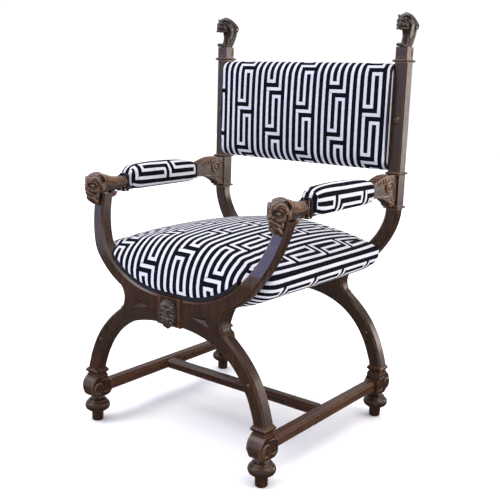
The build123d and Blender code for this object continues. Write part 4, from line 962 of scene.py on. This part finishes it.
def lion_mask(name, material):
    """A grotesque face with a ruff of leaves, on the middle of the front."""
    c = Carving()
    middle = 361
    outline = []
    for a in full_turn(48):
        x, z = 24.5 * math.sin(a), math.cos(a)
        z = 28 if z > 0.97 else z * (31 if z > 0 else 40)
        outline.append((x * (1 if z > 0 else 1 - 0.28 * (z / 40) ** 2), z))
    x, z = np.array(outline).T
    back = ((-288.4, 0.9), (-287.2, 1), (-285.4, 1))
    c.loft([columns(x * share, y, middle + z * share) for y, share in back])
    c.ball((0, -287, 357), (15, 7.5, 21))
    # leaves all round, each a pointed ridge with its neighbour's shadow between
    for a in np.arange(6, 175, 14):
        ca, sa = math.cos(math.radians(a)), math.sin(math.radians(a))
        r = 30.5 if 30 < a < 150 else 26.5
        tip = (r * 0.9 * ca, -288.8, 362 + r * sa)
        c.stroke([(10 * ca, -292.2, 365 + 9 * sa), (18 * ca, -292.6, 364 + 17 * sa), tip], (1.4, 3, 1.2))
    for z, reach in ((355, 26), (346, 25), (337, 21.5)):
        c.ridge([(12, -291.2, z + 4), (reach - 5, -291.2, z), (reach, -288.4, z - 6)], (1.8, 3, 1.2))
    brow = [(1.5, -293.2, 364.5), (7, -295.4, 370), (13, -292.8, 368.5), (16, -290.5, 363)]
    c.ridge(brow, (2.4, 3.2, 2.8, 1.6))
    c.knob((7.4, -292.6, 361.4), (3.2, 2.2, 2.2))
    c.knob((11.5, -290.6, 354), (5, 3.4, 5))
    c.stroke([(0, -293.6, 368), (0, -295.2, 360), (0, -295.4, 354)], (2.4, 2.8, 4))
    c.knob((4, -294.2, 352.5), (3, 2.4, 2.4))
    moustache = [(1, -294.6, 348), (7, -294.2, 345.5), (13, -291.8, 348), (18, -289.6, 356)]
    c.ridge(moustache, (2.4, 3.4, 3, 1.6))
    c.ridge([(1, -293.4, 341), (6, -292.6, 338.5), (11, -290.6, 341)], (1.8, 2.2, 1.3))
    for x in (-11, -5.5, 0, 5.5, 11):
        tip = (x * 0.55, -288.6, 320.5 + abs(x) * 0.25)
        c.stroke([(x, -291.8, 338), (x * 0.9, -291.2, 329), tip], (2.4, 3, 1.2))
    return c.make(name, 0, 0.75, 1, material)


def bracket_carving(name, material):
    """Scroll and leaves on both faces of the right rail's bracket, x from the rail's middle."""
    c = Carving()
    for face in (-1, 1):
        def strokes(*rows):
            for points, radii in rows:
                c.stroke([(face * 13.2, y, z) for y, z in points], radii)

        scroll = spiral((209, 650), 2.5, 17.5, 1.55, 200, -1, face * 15)
        c.stroke(scroll, (3.4, 3.4, 3.6, 3.8))
        c.ball((face * 14.8, 209, 650), (3.6, 5.6, 5.6))
        stem = [(222, 640), (212, 628.5), (190, 627.5), (165, 630), (131, 632.5)]
        c.stroke([scroll[-1], *((face * 13.2, y, z) for y, z in stem)], (3.8, 3.6, 3.3, 2.8, 2.2, 1.2))
        strokes(
            (((206, 619), (220, 611), (236, 604), (244, 602.5)), (1.6, 3, 3, 1.8)),
            (((242, 606), (243.5, 625), (242.5, 650), (243, 672)), (1.6, 1.8, 1.8, 1.4)),
            (((132, 665), (160, 673), (186, 678.5), (214, 679.8), (240, 678.6)), (1.1, 1.8, 2.2, 2.2, 1.6)),
            (((226, 672), (233, 664), (233, 655)), (1.4, 2.2, 1.2)),
        )
        c.stroke(spiral((231, 618), 1.4, 6.6, 1.1, 20, 1, face * 13.2, 14), (1.5, 1.9, 1.5))
        for k, (y, z) in enumerate(((150, 668), (161, 671.5), (172, 674.5), (184, 676))):
            s = 0.7 + 0.12 * k
            leaf = ((y, z), (y + 7 * s, z - 6 * s), (y + 5.5 * s, z - 14 * s), (y - 2 * s, z - 17 * s))
            strokes((leaf, (1.8, 3.2 * s + 0.4, 2.9 * s + 0.3, 1.2)))
    # the crest's leaf tips, which show from above and from behind
    for k in range(7):
        y = 138 + 11.5 * k
        z = np.interp(y, (126, 160, 186, 210), (662.5, 675, 679.6, 681.2))
        c.ridge([(0.5, y - 4, z + 0.2), (7, y + 1, z - 0.6), (12.5, y + 5, z - 4)], (1.6, 2.2, 1.2))
    return c.make(name, RAIL_X, 1, 1, material)


def foot_scroll_carving(name, material):
    """Lobes round the roll of a scroll block and a volute on each side, for the rear right corner."""
    c = Carving()
    eye = (FRAME_Y + 14, 98)
    a = np.linspace(1.35, -1.15, 9)
    for x in (-15.5, -9.3, -3.1, 3.1, 9.3, 15.5):
        lobe = columns(x, eye[0] + 18.816 * np.cos(a), eye[1] + 27.4 * np.sin(a))
        c.stroke(lobe, (1.2, 2.6, 3, 2.6, 1.4))
    for face in (-1, 1):
        c.stroke(spiral(eye, 2, 17, 1.45, 60, -1, face * 22.6), (2, 2.4, 2.6, 2.4))
        c.ball((face * 22.8, *eye), (3, 4.6, 4.6))
        for line, radii in (
            (((-3, 84), (-14, 80), (-27, 84)), (1.8, 2, 1)),
            (((2, 117), (-12, 116), (-25, 113)), (1.6, 1.8, 1)),
        ):
            c.stroke([(face * 21, FRAME_Y + y, z) for y, z in line], radii)
    return c.make(name, FOOT_X, 1.1, 1, material)


# ---- trims and hidden cloth
def sweep(name, path, outward, profile, material, closed=False):
    """A strip along path. outward is the direction of the profile's second coordinate."""
    if closed:
        tangent = np.roll(path, -1, axis=0) - np.roll(path, 1, axis=0)
    else:
        tangent = np.gradient(path, axis=0)
    tangent /= np.linalg.norm(tangent, axis=1)[:, None]
    outward = np.broadcast_to(outward, path.shape)
    across = np.cross(tangent, outward)
    across /= np.linalg.norm(across, axis=1)[:, None]
    u, v = np.array(profile).T
    rings = [p + np.outer(u, a) + np.outer(v, o) for p, a, o in zip(path, across, outward)]
    return lofted(name, material, rings, closed=closed)


def braid_profile(width, thick):
    """Two cords with a ribbed web between them."""
    cord = ((0, 0), (0, 0.55), (0.8, 0.95), (1.8, 0.8), (2.4, 0.45))
    half = [(width / 2 - inset, thick * share) for inset, share in cord]
    return [*((-u, v) for u, v in half), (0, thick * 0.62), *half[::-1]]


def front_gimp(material):
    edge = u_edge(-1, 5.0, 120)
    edge = edge[edge[:, 1] < 467]
    half = np.vstack([[(x, U_Z + 5.0) for x in np.linspace(0, 36, 12)], edge])
    x, z = smooth_path(np.vstack([half[::-1] * (-1, 1), half[1:]]), 170).T
    path = columns(x, -275.9, z)
    return subdivide(sweep("front_gimp", path, (0.0, -1.0, 0.0), braid_profile(9.6, 3.6), material))


def arm_band(name, y0, y1, low, high, material):
    """A braid wrapped round the rail against the pad's end."""
    half_w, half_h = 15.2, (high - low) / 2
    middle = np.array([RAIL_X, (y0 + y1) / 2, (low + high) / 2])
    x, z = oval(half_w, half_h, 0.35, 0.35, 64)
    out = resample(columns(x, 0, z), 80)
    ring = out + middle
    out /= (half_w ** 2, 1, half_h ** 2)
    out /= np.linalg.norm(out, axis=1)[:, None]
    profile = [(u, v - 2.2) for u, v in braid_profile(y1 - y0, 3.0)]
    return subdivide(sweep(name, ring, out, profile, material, closed=True))


def back_end(name, material):
    """Black braid down the right end of the back's pad."""
    line = (
        (256, 957), (247, 953.5), (240, 946), (236.5, 936), (234, 920), (232.5, 890), (231.6, 860),
        (231.2, 825), (231.6, 790), (232.5, 760), (234, 731), (236.5, 715), (240, 705), (247, 697.5),
        (256, 694),
    )
    path = smooth_path([(274.9, y, z) for y, z in line], 90)
    return sweep(name, path, (1.0, 0.0, 0.0), braid_profile(10, 1.0), material)


def straps(name, boxes, material, upright=False):
    """Webbing: each box is a strap's centre and half size, long in X, or in Z when upright. The
    middle gives a little where the stuffing rests on it, and the edges are corded."""
    edge = ((-1, -1), (-0.96, -1.25), (0, -1.1), (0.96, -1.25), (1, -1))
    outline = (*edge, *((u, -v) for u, v in edge[::-1]))
    lofts = []
    for (cx, cy, cz), (hx, hy, hz) in boxes:
        rings = []
        for t in np.linspace(-1, 1, 30):
            give = 1.2 * (1 - t * t)
            if upright:
                rings.append([(cx + hx * u, cy + hy * v + give, cz + hz * t) for u, v in outline])
            else:
                rings.append([(cx + hx * t, cy + hy * u, cz + hz * v - give) for u, v in outline])
        lofts.append(rings)
    return lofted(name, material, *lofts)


def dust_cloth(name, half_x, half_y, material):
    """The thin cloth nailed under the seat's keel: it hangs a little between its nails."""
    under = keel()
    nx, ny = 28, 56
    verts, faces = [], []
    for k in range((nx + 1) * (ny + 1)):
        j, i = divmod(k, nx + 1)
        u, v = 2 * i / nx - 1, 2 * j / ny - 1
        hang = 1.2 + 0.9 * (1 - u * u) * (1 - v * v)
        pucker = 0.25 * math.sin(j * 1.7) * abs(u) ** 8 + 0.25 * math.sin(i * 1.9) * abs(v) ** 8
        level = np.interp(abs(half_x * u), under[:, 0], under[:, 1])
        verts.append((half_x * u, half_y * v, level - hang + pucker))
        if i < nx and j < ny:
            faces.append((k, k + nx + 1, k + nx + 2, k + 1))
    ob = mesh_object(name, verts, faces, material)
    return ob


# ---- run
camera()
lights()

paper = Nodes("floor")
paper.shade(Base_Color=paper.mix(paper.noise(3), (0.90,) * 3, (0.94,) * 3), Roughness=0.8)
corners = [(-9000, -9000, -0.5), (9000, -9000, -0.5), (9000, 9000, -0.5), (-9000, 9000, -0.5)]
floor = mesh_object("floor", corners, [(0, 1, 2, 3)], paper.owner)
floor.visible_glossy = False  # the varnish doesn't mirror it

WOODS = {
    "upright": wood("walnut_upright", "Z"),
    "across": wood("walnut_across", "X", tone=1.35),
    "along": wood("walnut_along", "Y", tone=1.9),
    # the rail is toned darker as painted shade, for the recesses round the bracket carving
    "rail": wood("walnut_rail_shade_darkened", "Y", tone=0.75),
    "right": wood("walnut_right_half", "Z", (0, math.radians(38), 0)),
    "left": wood("walnut_left_half", "Z", (0, math.radians(-38), 0)),
    "hidden": wood("beech_hidden", "Y", tone=2.5),
}
# each carved finish's worn colour is rubbed wear with a painted highlight in it, and its cuts carry painted
# shade
CARVED = wood("walnut_carved", "Y", carved=True)
MASK = wood("walnut_mask", "Z", carved=True, worn_and_highlight_colour=(0.075, 0.052, 0.046))
FINIAL = wood("walnut_finial", "Z", carved=True, tone=0.55, worn_and_highlight_colour=(0.085, 0.055, 0.044), shine=0.5)
SCROLL = wood("walnut_scroll", "Y", carved=True, worn_and_highlight_colour=(0.095, 0.048, 0.028))
FINISH = {
    "front_frame_left": "left", "rear_frame_left": "left", "front_frame_right": "right",
    "rear_frame_right": "right", "cross_stretcher": "across", "side_stretcher": "along", "arm_rail": "rail",
    "crossing_dowels": "hidden", "seat_upper_rail": "hidden", "seat_lower_rail": "hidden",
    "back_bottom_rail": "hidden", "back_top_rail": "hidden",
}
for name, node in nodes.items():
    kind = next((k for start, k in FINISH.items() if name.startswith(start)), "upright")
    if not node.material_slots:
        node.data.materials.append(None)
    for slot in node.material_slots:
        slot.link = "OBJECT"
        slot.material = WOODS[kind]

cloth = patterned_cloth("meander_cloth")
finish_piece(seat_cushion(cloth), "patterned_fabric", "seat_cover", "seat_stuffing")
finish_piece(back_cushion(cloth), "patterned_fabric", "back_cover", "back_stuffing")
finish_pair(arm_cushion("arm_cushion_right", cloth), "patterned_fabric", "arm_pad_{}")

finish_pair(arm_head("carved_arm_head_right", CARVED), "carved_wood", "arm_head_{}")
finish_pair(finial("carved_finial_right", FINIAL), "carved_wood", "finial_{}")
finish_pair(bracket_carving("carved_bracket_right", CARVED), "carved_wood")
finish_piece(lion_mask("carved_lion_mask", MASK), "carved_wood", "front_lion_mask")

corner = foot_scroll_carving("carved_scroll_rear_right", SCROLL)
for place, across, along in (("rear_left", -1, 1), ("front_right", 1, -1), ("front_left", -1, -1)):
    finish_piece(flipped(corner, "carved_scroll_" + place, across, along), "frame_wood")
finish_piece(corner, "frame_wood")

black = braid("black_braid")
finish_piece(front_gimp(black), "black_braid", "seat_front_gimp")
for end, y0, y1, low, high in (("front", -156.2, -147.2, 609.5, 657.0), ("rear", 120.4, 125.0, 623.0, 666.5)):
    band = arm_band(f"braid_{end}_right", y0, y1, low, high, black)
    finish_pair(band, "black_braid", f"arm_{end}_band_{{}}")
finish_pair(back_end("back_braid_right", black), "black_braid")

jute = plain_cloth("jute_webbing", (0.30, 0.20, 0.105), 160.0, 0.0005)
cambric = plain_cloth("black_cambric", (0.012, 0.012, 0.013), 420.0, 0.0002)
webs = [((0, (k - 2.5) * 74.3, 460.0), (225, 25, 0.8)) for k in range(6)]
finish_piece(straps("seat_webs", webs, jute), "webbing", "seat_webbing")
webs = [(((k - 2) * 110.4, 253.0, BACK_Z), (25, 0.8, 126.5)) for k in range(5)]
finish_piece(straps("back_webs", webs, jute, upright=True), "webbing", "back_webbing")
finish_piece(dust_cloth("under_cloth", 111.5, 232.5, cambric), "dust_cloth", "seat_dust_cloth")
